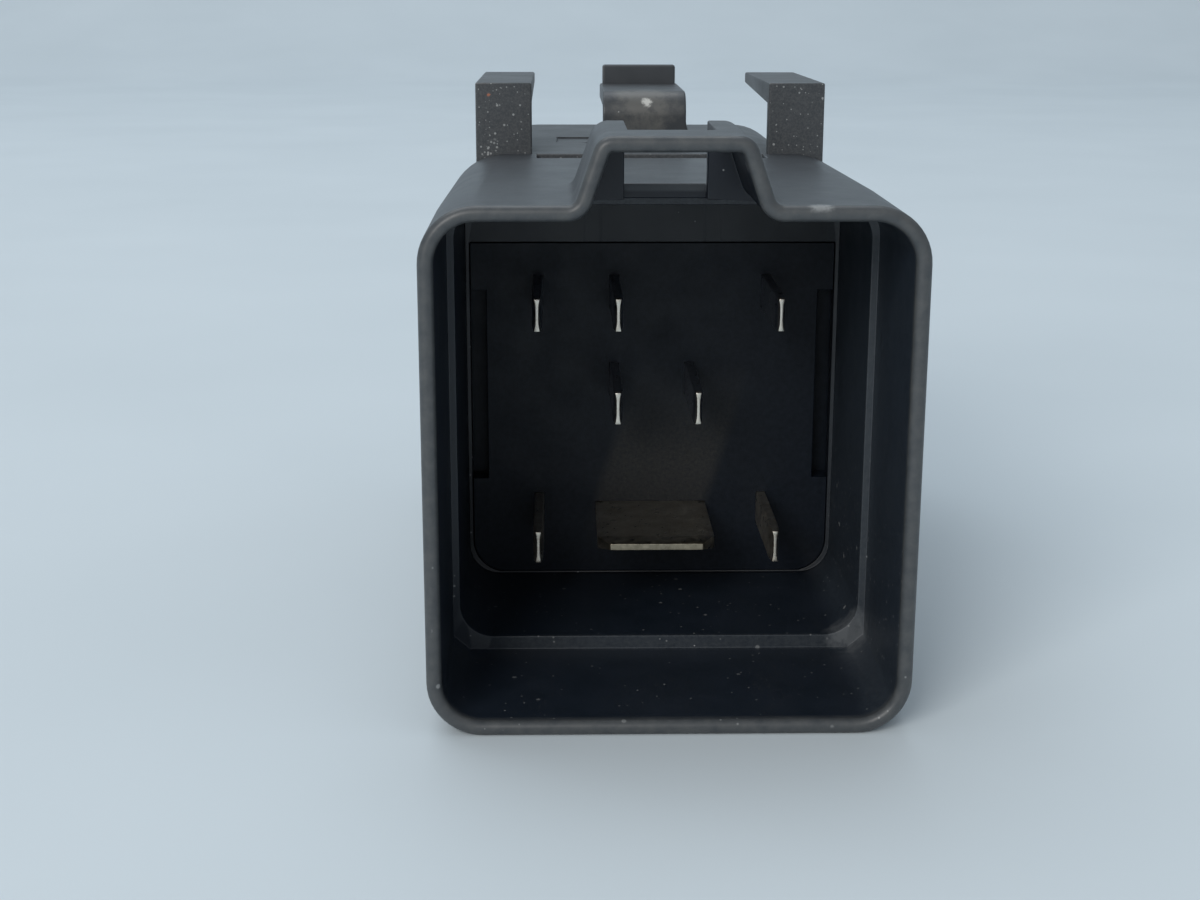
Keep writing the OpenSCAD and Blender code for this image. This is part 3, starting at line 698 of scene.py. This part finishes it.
def at_slot(x, depth, z):
    """On the edge of a blade's slot, which stays sharp."""
    return any(
        abs(x - slot_x) < wide / 2 + SLOT_RIM and abs(z - slot_z) < high / 2 + SLOT_RIM
        for slot_x, slot_z, wide, high in SLOTS
    )


# ---- Blades ----


def blade_ring(blade, half, coining):
    """(across, through) points of one cross-section, coined by a share from 0 to 1.

    The coin thins the middle of the tip more than its edges.
    """
    upper, lower = [], []
    full = blade.thick / 2
    for k in range(COIN_STEPS + 1):
        u = -1 + 2 * k / COIN_STEPS
        thin = blade.coined / 2 + (full - blade.coined / 2) * blade.flare * abs(u) ** COIN_POWER
        t = full + (thin - full) * coining
        edge = BLADE_EDGE if k in (0, COIN_STEPS) else 1.0
        upper.append((u * half, t * edge))
        lower.append((u * half, -t * edge))
    return upper + lower[::-1]


def blade_profile(blade):
    """(cross-section, depth) pairs from a blade's coined tip to its root in the shoulders."""
    profile = []
    for back, coining in COIN:
        half = blade.width / 2 - blade.corner * max(0.0, 1 - back / TIP_L)
        profile.append((blade_ring(blade, half, coining), TIP + back))
    root = (SHOULDER[0] + SHOULDER[1]) / 2
    return profile + [(blade_ring(blade, blade.width / 2, 0.0), root)]


def make_blade(name, x, z, blade, flat):
    """Blade with its shoulders and tail, centred on (x, z). It lies flat or stands on edge."""

    def place(u, t):
        return (x + u, z + t) if flat else (x + t, z + u)

    profile = [([place(*p) for p in ring], depth) for ring, depth in blade_profile(blade)]
    obj = loft(name, profile)
    shoulder = (blade.width / 2 + blade.shoulder, SHOULDER)
    tail = (blade.tail_w / 2, (SHOULDER[0] + TAIL_ROOT, blade.tail_end))
    blocks = []
    for half, depths in (shoulder, tail):
        low, high = place(-half, -blade.thick / 2), place(half, blade.thick / 2)
        blocks.append(block("blade_block", (low[0], high[0]), depths, (low[1], high[1])))
    combine(obj, blocks)
    tidy_mesh(obj)
    return soften(obj, EDGE["blade"], angle=BLADE_SHARP)


# ---- Materials ----

NOISE_SPAN = (0.3, 0.7)  # limits within which nearly all of a noise's values lie
PATCH_SPAN = (0.18, 0.36)  # the same for a noise that fades towards a patch's rim
PALE_DUST = (0.36, 0.37, 0.37, 1.0)


class Shader:
    """Short names for building one Principled material. Sizes are in millimetres."""

    def __init__(self, name):
        self.material = bpy.data.materials.new(name)
        self.material.use_nodes = True
        self.tree = self.material.node_tree
        self.main = self.tree.nodes["Principled BSDF"]
        self.coords = self.tree.nodes.new("ShaderNodeTexCoord").outputs["Object"]
        self.x, self.y, self.z = self.node("ShaderNodeSeparateXYZ", {0: self.coords}).outputs

    def set(self, socket, value):
        self.main.inputs[socket].default_value = value

    def link(self, output, socket):
        self.tree.links.new(output, self.main.inputs[socket])

    def node(self, kind, inputs=(), **settings):
        made = self.tree.nodes.new(kind)
        for key, value in settings.items():
            setattr(made, key, value)
        for socket, value in dict(inputs).items():
            if isinstance(value, bpy.types.NodeSocket):
                self.tree.links.new(value, made.inputs[socket])
            else:
                made.inputs[socket].default_value = value
        return made

    def math(self, operation, a, b):
        return self.node("ShaderNodeMath", {0: a, 1: b}, operation=operation).outputs[0]

    def vector(self, operation, a, b=(0, 0, 0)):
        made = self.node("ShaderNodeVectorMath", {0: a, 1: b}, operation=operation)
        return made.outputs["Vector"]

    def both(self, a, b):
        """Mask where two masks meet, or one mask weakened by a number."""
        return self.math("MULTIPLY", a, b)

    def either(self, a, b):
        return self.math("MAXIMUM", a, b)

    def mix(self, factor, a, b):
        made = self.node("ShaderNodeMix", data_type="RGBA")
        for index, value in ((0, factor), (6, a), (7, b)):
            if isinstance(value, bpy.types.NodeSocket):
                self.tree.links.new(value, made.inputs[index])
            else:
                made.inputs[index].default_value = value
        return made.outputs[2]

    def ramp(self, value, low, high, start=0.0, end=1.0):
        """Value mapped from low..high to start..end, and held there."""
        limits = {"From Min": low, "From Max": high, "To Min": start, "To Max": end}
        return self.node("ShaderNodeMapRange", {"Value": value, **limits}).outputs["Result"]

    def above(self, axis, low, blur=0.1):
        """1 where a coordinate is above a limit, fading over blur."""
        return self.ramp(axis, (low - blur) * MM, (low + blur) * MM)

    def below(self, axis, high, blur=0.1):
        return self.ramp(axis, (high - blur) * MM, (high + blur) * MM, 1.0, 0.0)

    def between(self, axis, low, high, blur=0.1):
        return self.both(self.above(axis, low, blur), self.below(axis, high, blur))

    def at_depths(self, low, high, blur=0.1):
        return self.between(self.y, low + RIM_Y, high + RIM_Y, blur)

    def noise(self, size, detail=2.0, rough=0.5, stretch=(1, 1, 1)):
        """Noise with features of about that size."""
        scale = [factor / (size * MM) for factor in stretch]
        place = self.node("ShaderNodeMapping", {"Vector": self.coords, "Scale": scale}).outputs[0]
        look = {"Scale": 1.0, "Detail": detail, "Roughness": rough}
        return self.node("ShaderNodeTexNoise", {"Vector": place, **look}).outputs["Fac"]

    def drift(self, size, low=0.0, high=1.0, detail=4.0, rough=0.5):
        """Value that wanders from low to high over about that size."""
        return self.ramp(self.noise(size, detail, rough), *NOISE_SPAN, low, high)

    def cloudy(self, size, dark, light):
        """Colour that drifts between two tones over about that size."""
        return self.mix(self.drift(size, rough=0.6), rgb(*dark), rgb(*light))

    def dusting(self, size, low, high, detail=5.0, rough=0.7):
        """Uneven dust: none where the noise is below low, full where it is above high."""
        return self.ramp(self.noise(size, detail, rough), low, high)

    def patch(self, place, radius):
        """Soft ragged spot about an (x, depth, z) point."""
        centre = Vector((place[0], place[1] + RIM_Y, place[2])) * MM
        gap = self.node("ShaderNodeVectorMath", {0: self.coords, 1: centre}, operation="DISTANCE")
        near = self.ramp(gap.outputs["Value"], 0.0, radius * MM, 1.0, 0.0)
        return self.ramp(self.both(near, self.noise(radius / 4, 4.0, 0.7)), *PATCH_SPAN)

    def specks(self, spacing, size, share):
        """Round grains of that size, in that share of the cells of a loose grid."""
        cells = self.node("ShaderNodeTexVoronoi", {"Vector": self.coords, "Scale": 1 / (spacing * MM)})
        reach = size / 2 / spacing
        core = 0.6 * reach
        grain = self.ramp(cells.outputs["Distance"], core, reach, 1.0, 0.0)
        chance = self.node("ShaderNodeSeparateColor", {"Color": cells.outputs["Color"]})
        return self.both(grain, self.math("LESS_THAN", chance.outputs["Red"], share))

    def bump(self, height, distance, strength):
        """Relief of that distance."""
        relief = {"Height": height, "Distance": distance * MM, "Strength": strength}
        self.link(self.node("ShaderNodeBump", relief).outputs["Normal"], "Normal")

    def grain(self, size, distance, rough=0.6, stretch=(1, 1, 1)):
        """Fine relief with features of about that size."""
        self.bump(self.noise(size, 3.0, rough, stretch), distance, 0.5)


def rgb(r, g, b):
    return (r, g, b, 1.0)


def finish_plastic(s, colour, dust, roughness):
    """Dust, roughness and fine grain that the black mouldings share."""
    s.link(s.mix(dust, colour, PALE_DUST), "Base Color")
    gloss = s.drift(3.0, roughness - 0.03, roughness + 0.04, rough=0.6)
    s.link(s.either(gloss, dust), "Roughness")
    s.grain(0.09, 0.012)
    return s.material


def inside_shroud(s):
    """1 on the faces inside the shroud and its key."""
    endless = 1.0  # depth doesn't count
    centre = (0, 0, BODY_H / 2 * MM)
    core = ((BODY_W / 2 - CORNER_R) * MM, endless, (BODY_H / 2 - CORNER_R) * MM)
    offset = s.vector("ABSOLUTE", s.vector("SUBTRACT", s.coords, centre))
    offset = s.vector("MAXIMUM", s.vector("SUBTRACT", offset, core), (0, 0, 0))
    reach = s.node("ShaderNodeVectorMath", {0: offset}, operation="LENGTH").outputs["Value"]
    body = s.below(reach, CORNER_R - WALL / 2)
    slope = (KEY_FOOT_W - KEY_TOP_W) / 2 / (KEY_TOP - BODY_H)
    lean = s.both(s.math("SUBTRACT", s.z, BODY_H * MM), slope)
    flank = s.math("ADD", s.math("ABSOLUTE", s.x, 0.0), lean)
    key = s.both(s.below(flank, KEY_FOOT_W / 2 - 0.55 * WALL), s.below(s.y, RIM_Y + KEY_L - WALL / 2))
    key = s.both(key, s.between(s.z, BODY_H - 1.0, KEY_TOP - WALL / 2))
    return s.either(body, key)


def moulded_colour_and_shade(s, inside):
    """Faded outside and darker inside, partly the plastic's own tone and partly painted shade, with
    painted shade deeper still behind the floor and under the top.
    """
    faded = s.cloudy(3.0, (0.037, 0.043, 0.050), (0.043, 0.049, 0.057))
    # darker inside: partly the plastic's own tone, partly painted shade
    deep = s.cloudy(3.0, (0.009, 0.015, 0.024), (0.014, 0.021, 0.033))
    # painted shade: darker still behind the floor and under the top wall
    painted_shade_behind_floor = rgb(0.004, 0.007, 0.012)
    painted_shade_under_top = rgb(0.002, 0.005, 0.012)
    deep = s.mix(s.at_depths(FLOOR - 0.4, SEAM), deep, painted_shade_behind_floor)
    deep = s.mix(s.between(s.z, BODY_H - 3.0, KEY_TOP + 1.0, 1.0), deep, painted_shade_under_top)
    return s.mix(inside, faded, deep)


def settled_dust_and_light(s, colour):
    """Painted light on the right inner wall, mottled like dust, and dust along the ledge and in the
    ledge's lower right corner.
    """
    wall_light_and_dust = rgb(0.044, 0.056, 0.070)
    ledge_dust = rgb(0.050, 0.058, 0.066)
    corner_dust = rgb(0.12, 0.13, 0.14)
    wall_x = BODY_W / 2 - WALL
    # painted light: the right inner wall made paler and bluer, with a mottle like dust
    wall = s.both(s.between(s.x, wall_x - 2.0, wall_x + 0.3, 0.6), s.at_depths(0.7, FLOOR))
    wall = s.both(s.both(wall, 0.75), s.dusting(0.35, 0.25, 0.7))
    colour = s.mix(wall, colour, wall_light_and_dust)
    ledge = s.both(s.at_depths(LEDGE - 0.3, LEDGE + 0.2, 0.2), s.above(s.x, -13.0, 3.0))
    colour = s.mix(s.both(ledge, s.dusting(0.3, 0.25, 0.8)), colour, ledge_dust)
    corner = s.patch((SOCKET_X - 0.6, LEDGE, SOCKET_Z0 + 0.4), 3.4)
    return s.mix(s.both(corner, 0.7), colour, corner_dust)


def worn_lip_and_highlight(s, colour):
    """Pale along the lip, partly wear and partly a painted highlight on its rounding, with a scuff on
    its top edge and one on the key's right flank.
    """
    scuffed = rgb(0.30, 0.31, 0.31)
    # wear and a painted highlight: the lip's rounding made paler
    lip = s.both(s.below(s.y, RIM_Y + 0.75, 0.35), 0.9)
    colour = s.mix(lip, colour, s.cloudy(1.0, (0.050, 0.056, 0.062), (0.086, 0.090, 0.091)))
    top_edge = s.between(s.z, BODY_H - 0.35, BODY_H + 1.0, 0.15)
    scuff = s.both(s.patch((9.7, 0.3, BODY_H), 1.4), top_edge)
    scuff = s.either(scuff, s.patch((4.7, 1.6, BODY_H + 2.4), 0.8))
    return s.mix(s.both(scuff, 0.7), colour, scuffed)


def shroud_specks(s, inside):
    """Grains of dust low down inside, at the seam's top left corner, and a few all over."""
    grains = s.either(
        s.specks(spacing=0.6, size=0.2, share=0.15), s.specks(spacing=1.9, size=0.42, share=0.3)
    )
    low = s.both(s.both(inside, s.between(s.z, 0.9, 13.0, 5.0)), grains)
    top_left = s.both(s.between(s.x, -17.0, -5.0), s.between(s.z, BODY_H - 2.0, BODY_H + 1.0))
    seam = s.both(s.at_depths(SEAM - 0.3, SEAM + 1.0), s.specks(spacing=0.3, size=0.24, share=0.35))
    few = s.specks(spacing=0.7, size=0.17, share=0.07)
    return s.either(s.either(low, s.both(seam, top_left)), few)


def shroud_plastic():
    """Black plastic, darker inside partly by painted shade, faded outside, pale along the lip from
    wear and a painted highlight, and with painted light on the right inner wall.
    """
    s = Shader("shroud_plastic")
    inside = inside_shroud(s)
    colour = moulded_colour_and_shade(s, inside)
    colour = settled_dust_and_light(s, colour)
    colour = worn_lip_and_highlight(s, colour)
    return finish_plastic(s, colour, s.both(shroud_specks(s, inside), 0.75), 0.40)


def worn_latch_and_highlight(s, colour):
    """Dust and a painted highlight over the latch's bend, and a pale scuff on it."""
    dusty_painted_light = rgb(0.17, 0.165, 0.15)
    scuffed = rgb(0.55, 0.55, 0.52)
    # dust and a painted highlight: the bend made paler
    bend = s.patch((0.0, LATCH + 1.0, LATCH_TOP - 1.0), 5.5)
    colour = s.mix(s.both(bend, 0.55), colour, dusty_painted_light)
    return s.mix(s.patch((0.2, LATCH + 0.4, LATCH_TOP - 0.9), 0.9), colour, scuffed)


def grimy_hooks(s, colour, fronts):
    """Grime on the hooks' fronts, and one orange speck on the left one."""
    orange = rgb(0.52, 0.16, 0.07)
    grime = rgb(0.084, 0.088, 0.091)
    colour = s.mix(s.patch((-HOOK_X - 1.25, SEAM, HOOK_TOP - 1.0), 0.3), colour, orange)
    return s.mix(s.both(fronts, s.dusting(0.16, 0.4, 0.72, detail=3.0)), colour, grime)


def cover_specks(s, fronts):
    """Grains of dust on the hooks' fronts, heaped at the left one's foot, and a few all over."""
    heavy = s.either(
        s.specks(spacing=0.3, size=0.13, share=0.3), s.specks(spacing=0.7, size=0.25, share=0.3)
    )
    foot = s.patch((-HOOK_X - 1.4, SEAM, BODY_H + 0.3), 2.2)
    heap = s.both(foot, s.specks(spacing=0.28, size=0.24, share=0.6))
    few = s.specks(spacing=0.8, size=0.16, share=0.1)
    return s.either(s.either(s.both(fronts, heavy), heap), few)


def cover_plastic():
    """Black plastic, faded, with dust on the hook fronts, and dust and a painted highlight on the
    latch.
    """
    s = Shader("cover_plastic")
    colour = s.cloudy(1.6, (0.037, 0.042, 0.048), (0.046, 0.051, 0.057))
    above_top = s.between(s.z, BODY_H - 1.0, HOOK_TOP + 1.0)
    fronts = s.both(s.at_depths(SEAM - 1.0, SEAM + 0.3), above_top)
    colour = worn_latch_and_highlight(s, colour)
    colour = grimy_hooks(s, colour, fronts)
    return finish_plastic(s, colour, s.both(cover_specks(s, fronts), 0.85), 0.42)


def plate_plastic():
    """Deep black plastic with an etched grain, and a painted patch of brownish light reflected off the
    wide blade, leaning to the right as it rises, broken up like dust.
    """
    s = Shader("plate_plastic")
    colour = s.cloudy(0.5, (0.003, 0.006, 0.011), (0.008, 0.012, 0.020))
    # painted reflected light: a brownish patch above the wide blade
    brown_reflected_light = rgb(0.044, 0.042, 0.038)
    # how far the painted patch shifts to the right for each millimetre it rises
    lean = 0.3
    rise = s.math("SUBTRACT", s.z, (ROWS[0] + WIDE.thick / 2) * MM)
    across = s.math("ADD", s.x, s.both(rise, -lean))
    dusty_painted_light = s.between(across, -WIDE.width / 2, WIDE.width / 2, 0.5)
    dusty_painted_light = s.both(dusty_painted_light, s.between(s.z, 8.0, 17.0, 4.0))
    dusty_painted_light = s.both(dusty_painted_light, s.dusting(0.3, 0.2, 0.75, rough=0.75))
    s.link(s.mix(dusty_painted_light, colour, brown_reflected_light), "Base Color")
    s.link(s.drift(2.4, 0.36, 0.48), "Roughness")
    s.set("Specular IOR Level", 0.25)
    s.grain(0.16, 0.02, rough=0.65)
    return s.material


def tin():
    """Dull tin plate: bluish, but tinted brownish in the lowest row as a painted reflection, with worn
    bright tips, the wide blade's tip painted darker as shade.
    """
    s = Shader("blade_tin")
    bluish = s.cloudy(1.6, (0.25, 0.28, 0.33), (0.34, 0.37, 0.42))
    # painted reflection: the lowest row's flats tinted brownish
    brown_reflection = s.cloudy(1.6, (0.50, 0.45, 0.37), (0.70, 0.66, 0.58))
    narrow_tip = s.cloudy(0.6, (0.66, 0.60, 0.50), (0.80, 0.75, 0.66))
    # painted shade: the wide blade's tip darker than the narrow tips
    shaded_wide_tip = s.cloudy(0.5, (0.26, 0.22, 0.15), (0.52, 0.46, 0.34))
    lowest = s.below(s.z, 13.0)
    half = WIDE.width / 2 + 0.3
    tips = s.mix(s.both(lowest, s.between(s.x, -half, half)), narrow_tip, shaded_wide_tip)
    flats = s.mix(lowest, bluish, brown_reflection)
    s.link(s.mix(s.at_depths(TIP - 1.0, TIP + 0.3, 0.4), flats, tips), "Base Color")
    s.set("Metallic", 1.0)
    s.link(s.drift(0.5, 0.26, 0.46, detail=3.0), "Roughness")
    s.grain(0.6, 0.01, stretch=(1, 0.15, 1))
    return s.material


def metal(name, light, dark, roughness, stretch=(1, 1, 1)):
    """Bare or plated metal with a drawn or rolled grain."""
    s = Shader(name)
    s.link(s.mix(s.drift(1.2), rgb(*light), rgb(*dark)), "Base Color")
    s.set("Metallic", 1.0)
    s.link(s.drift(0.6, roughness - 0.06, roughness + 0.08, detail=3.0), "Roughness")
    s.grain(0.3, 0.008, stretch=stretch)
    return s.material


def moulded(name, light, dark, roughness):
    """Moulded, lacquered or laminated non-metal with a soft mottle."""
    s = Shader(name)
    s.link(s.mix(s.drift(1.5), rgb(*light), rgb(*dark)), "Base Color")
    s.link(s.drift(0.8, roughness - 0.06, roughness + 0.08, detail=3.0), "Roughness")
    s.grain(0.25, 0.01, rough=0.5)
    return s.material


def copper_wire():
    """Enamelled winding, with one ridge for each turn."""
    s = Shader("copper_wire")
    pitch = 0.18 * MM
    turns = s.math("SINE", s.math("MULTIPLY", s.y, 2 * math.pi / pitch), 0.0)
    s.link(s.mix(s.ramp(turns, -1, 1), rgb(0.30, 0.10, 0.04), rgb(0.66, 0.27, 0.11)), "Base Color")
    s.set("Metallic", 1.0)
    s.link(s.drift(0.8, 0.25, 0.36, detail=3.0), "Roughness")
    s.bump(turns, 0.05, 0.8)
    return s.material


MATERIALS = {
    "shroud_plastic": shroud_plastic(),
    "cover_plastic": cover_plastic(),
    "plate_plastic": plate_plastic(),
    "blade_tin": tin(),
    "relay_iron": metal("relay_iron", (0.60, 0.61, 0.62), (0.45, 0.46, 0.47), 0.34, (1, 0.2, 1)),
    "spring_steel": metal("spring_steel", (0.55, 0.55, 0.56), (0.40, 0.40, 0.41), 0.28),
    "copper_wire": copper_wire(),
    "contact_copper": metal("contact_copper", (0.76, 0.44, 0.27), (0.60, 0.31, 0.18), 0.32),
    "contact_silver": metal("contact_silver", (0.86, 0.86, 0.84), (0.74, 0.73, 0.70), 0.24),
    "bobbin_plastic": moulded("bobbin_plastic", (0.83, 0.80, 0.70), (0.76, 0.72, 0.60), 0.5),
    "board_laminate": moulded("board_laminate", (0.07, 0.25, 0.13), (0.05, 0.19, 0.09), 0.4),
    "component_black": moulded("component_black", (0.05, 0.05, 0.055), (0.03, 0.03, 0.033), 0.5),
    "capacitor_sleeve": moulded("capacitor_sleeve", (0.06, 0.08, 0.22), (0.04, 0.05, 0.16), 0.32),
    "resistor_body": moulded("resistor_body", (0.60, 0.50, 0.34), (0.52, 0.42, 0.27), 0.4),
}


def dress(obj, slot, *nodes):
    """Puts a new piece on the housing, in place of CAD nodes, with its slot's material."""
    obj.data.materials.clear()
    obj.data.materials.append(MATERIALS[slot])
    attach(obj, "housing")
    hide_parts(*nodes)


def dress_cad_nodes():
    """Gives every CAD node its slot's material."""
    for part in frame["record"]["subparts"]:
        obj = frame["nodes"][part["node"]]
        obj.data.materials.clear()
        obj.data.materials.append(MATERIALS[part["material_slot"]])


# ---- Pieces ----

dress_cad_nodes()
dress(make_shroud(), "shroud_plastic", "connector_shroud")
dress(make_cover(), "cover_plastic", "rear_cover")
dress(make_plate(), "plate_plastic", "base_plate")
for number, (x, z) in enumerate(NARROW_PLACES, start=1):
    blade = make_blade(f"blade_{number}", x, z, NARROW, flat=False)
    dress(blade, "blade_tin", f"terminal_{number}")
dress(make_blade("wide_blade", *WIDE_PLACE, WIDE, flat=True), "blade_tin", "power_terminal")

# ---- Stage, lights and camera, in metres ----

STAGE_HALF = 12.0
STAGE_BACK = 0.75
STAGE_CURVE = 0.55
STAGE_TOP = 2.2
STAGE_STEPS = 24
STAGE_TONES = ((0.66, 0.73, 0.77), (0.69, 0.76, 0.80))
STAGE_MOTTLE = 60.0  # millimetres
WORLD_LEVEL = 0.42
WORLD_COLOUR = (0.86, 0.93, 1.0)


def make_stage():
    """Floor that curves up into a backdrop."""
    profile = [(-STAGE_HALF, 0.0)]
    for k in range(STAGE_STEPS + 1):
        angle = math.pi / 2 * k / STAGE_STEPS
        y = STAGE_BACK + STAGE_CURVE * math.sin(angle)
        profile.append((y, STAGE_CURVE * (1 - math.cos(angle))))
    profile.append((STAGE_BACK + STAGE_CURVE, STAGE_TOP))
    verts = [(x, y, z) for y, z in profile for x in (-STAGE_HALF, STAGE_HALF)]
    faces = [(2 * k, 2 * k + 1, 2 * k + 3, 2 * k + 2) for k in range(len(profile) - 1)]
    mesh = bpy.data.meshes.new("stage")
    mesh.from_pydata(verts, [], faces)
    for face in mesh.polygons:
        face.use_smooth = True
    obj = bpy.data.objects.new("stage", mesh)
    bpy.context.scene.collection.objects.link(obj)
    obj.data.materials.append(stage_paper())


def stage_paper():
    """Pale matt paper with a faint mottle."""
    s = Shader("stage")
    mottle = s.drift(STAGE_MOTTLE, detail=2.0)
    s.link(s.mix(mottle, *[rgb(*tone) for tone in STAGE_TONES]), "Base Color")
    s.set("Roughness", 0.85)
    s.set("Specular IOR Level", 0.2)
    return s.material


def make_world():
    world = bpy.data.worlds.new("studio")
    world.use_nodes = True
    background = world.node_tree.nodes["Background"]
    background.inputs["Color"].default_value = rgb(*WORLD_COLOUR)
    background.inputs["Strength"].default_value = WORLD_LEVEL
    bpy.context.scene.world = world


def add_light(name, place, size, power, colour):
    """Rectangular soft light that faces the part."""
    lamp = bpy.data.lights.new(name, "AREA")
    lamp.shape = "RECTANGLE"
    lamp.size, lamp.size_y = size
    lamp.energy = power
    lamp.color = colour
    obj = bpy.data.objects.new(name, lamp)
    obj.location = place
    obj.rotation_euler = (AIM - Vector(place)).to_track_quat("-Z", "Y").to_euler()
    bpy.context.scene.collection.objects.link(obj)


AIM = Vector((0, 0, 0.02))
SKY = {"size": (1.1, 0.9), "power": 5.6, "colour": (0.88, 0.94, 1.0)}
FRONT = {"size": (0.55, 0.55), "power": 7.0, "colour": (1.0, 0.98, 0.95)}

CAMERA_PLACE = Vector((-7.756, RIM_Y - 120.614, 52.825)) * MM
CAMERA_YAW = math.radians(1.283)
CAMERA_PITCH = math.radians(14.662)
CAMERA_ROLL = math.radians(-0.145)
CAMERA_LENS = 54.38
SENSOR_W = 36.0
NEAR_CLIP = 0.01


def make_camera():
    """Camera at the viewing angle: yaw to the right, pitch down, then roll."""
    level = Vector((math.sin(CAMERA_YAW), math.cos(CAMERA_YAW), 0)) * math.cos(CAMERA_PITCH)
    forward = level - Vector((0, 0, math.sin(CAMERA_PITCH)))
    right = Vector((math.cos(CAMERA_YAW), -math.sin(CAMERA_YAW), 0))
    down = forward.cross(right)
    c, s = math.cos(CAMERA_ROLL), math.sin(CAMERA_ROLL)
    right, down = c * right + s * down, c * down - s * right
    lens = bpy.data.cameras.new("camera")
    lens.lens = CAMERA_LENS
    lens.sensor_width = SENSOR_W
    lens.clip_start = NEAR_CLIP
    obj = bpy.data.objects.new("camera", lens)
    turn = Matrix((right, -down, -forward)).transposed().to_4x4()
    obj.matrix_world = Matrix.Translation(CAMERA_PLACE) @ turn
    bpy.context.scene.collection.objects.link(obj)
    bpy.context.scene.camera = obj


make_stage()
make_world()
add_light("sky", (-0.25, 0.45, 1.15), **SKY)
add_light("front", (-0.5, -0.95, 0.6), **FRONT)
make_camera()
bpy.context.scene.view_settings.view_transform = "Standard"
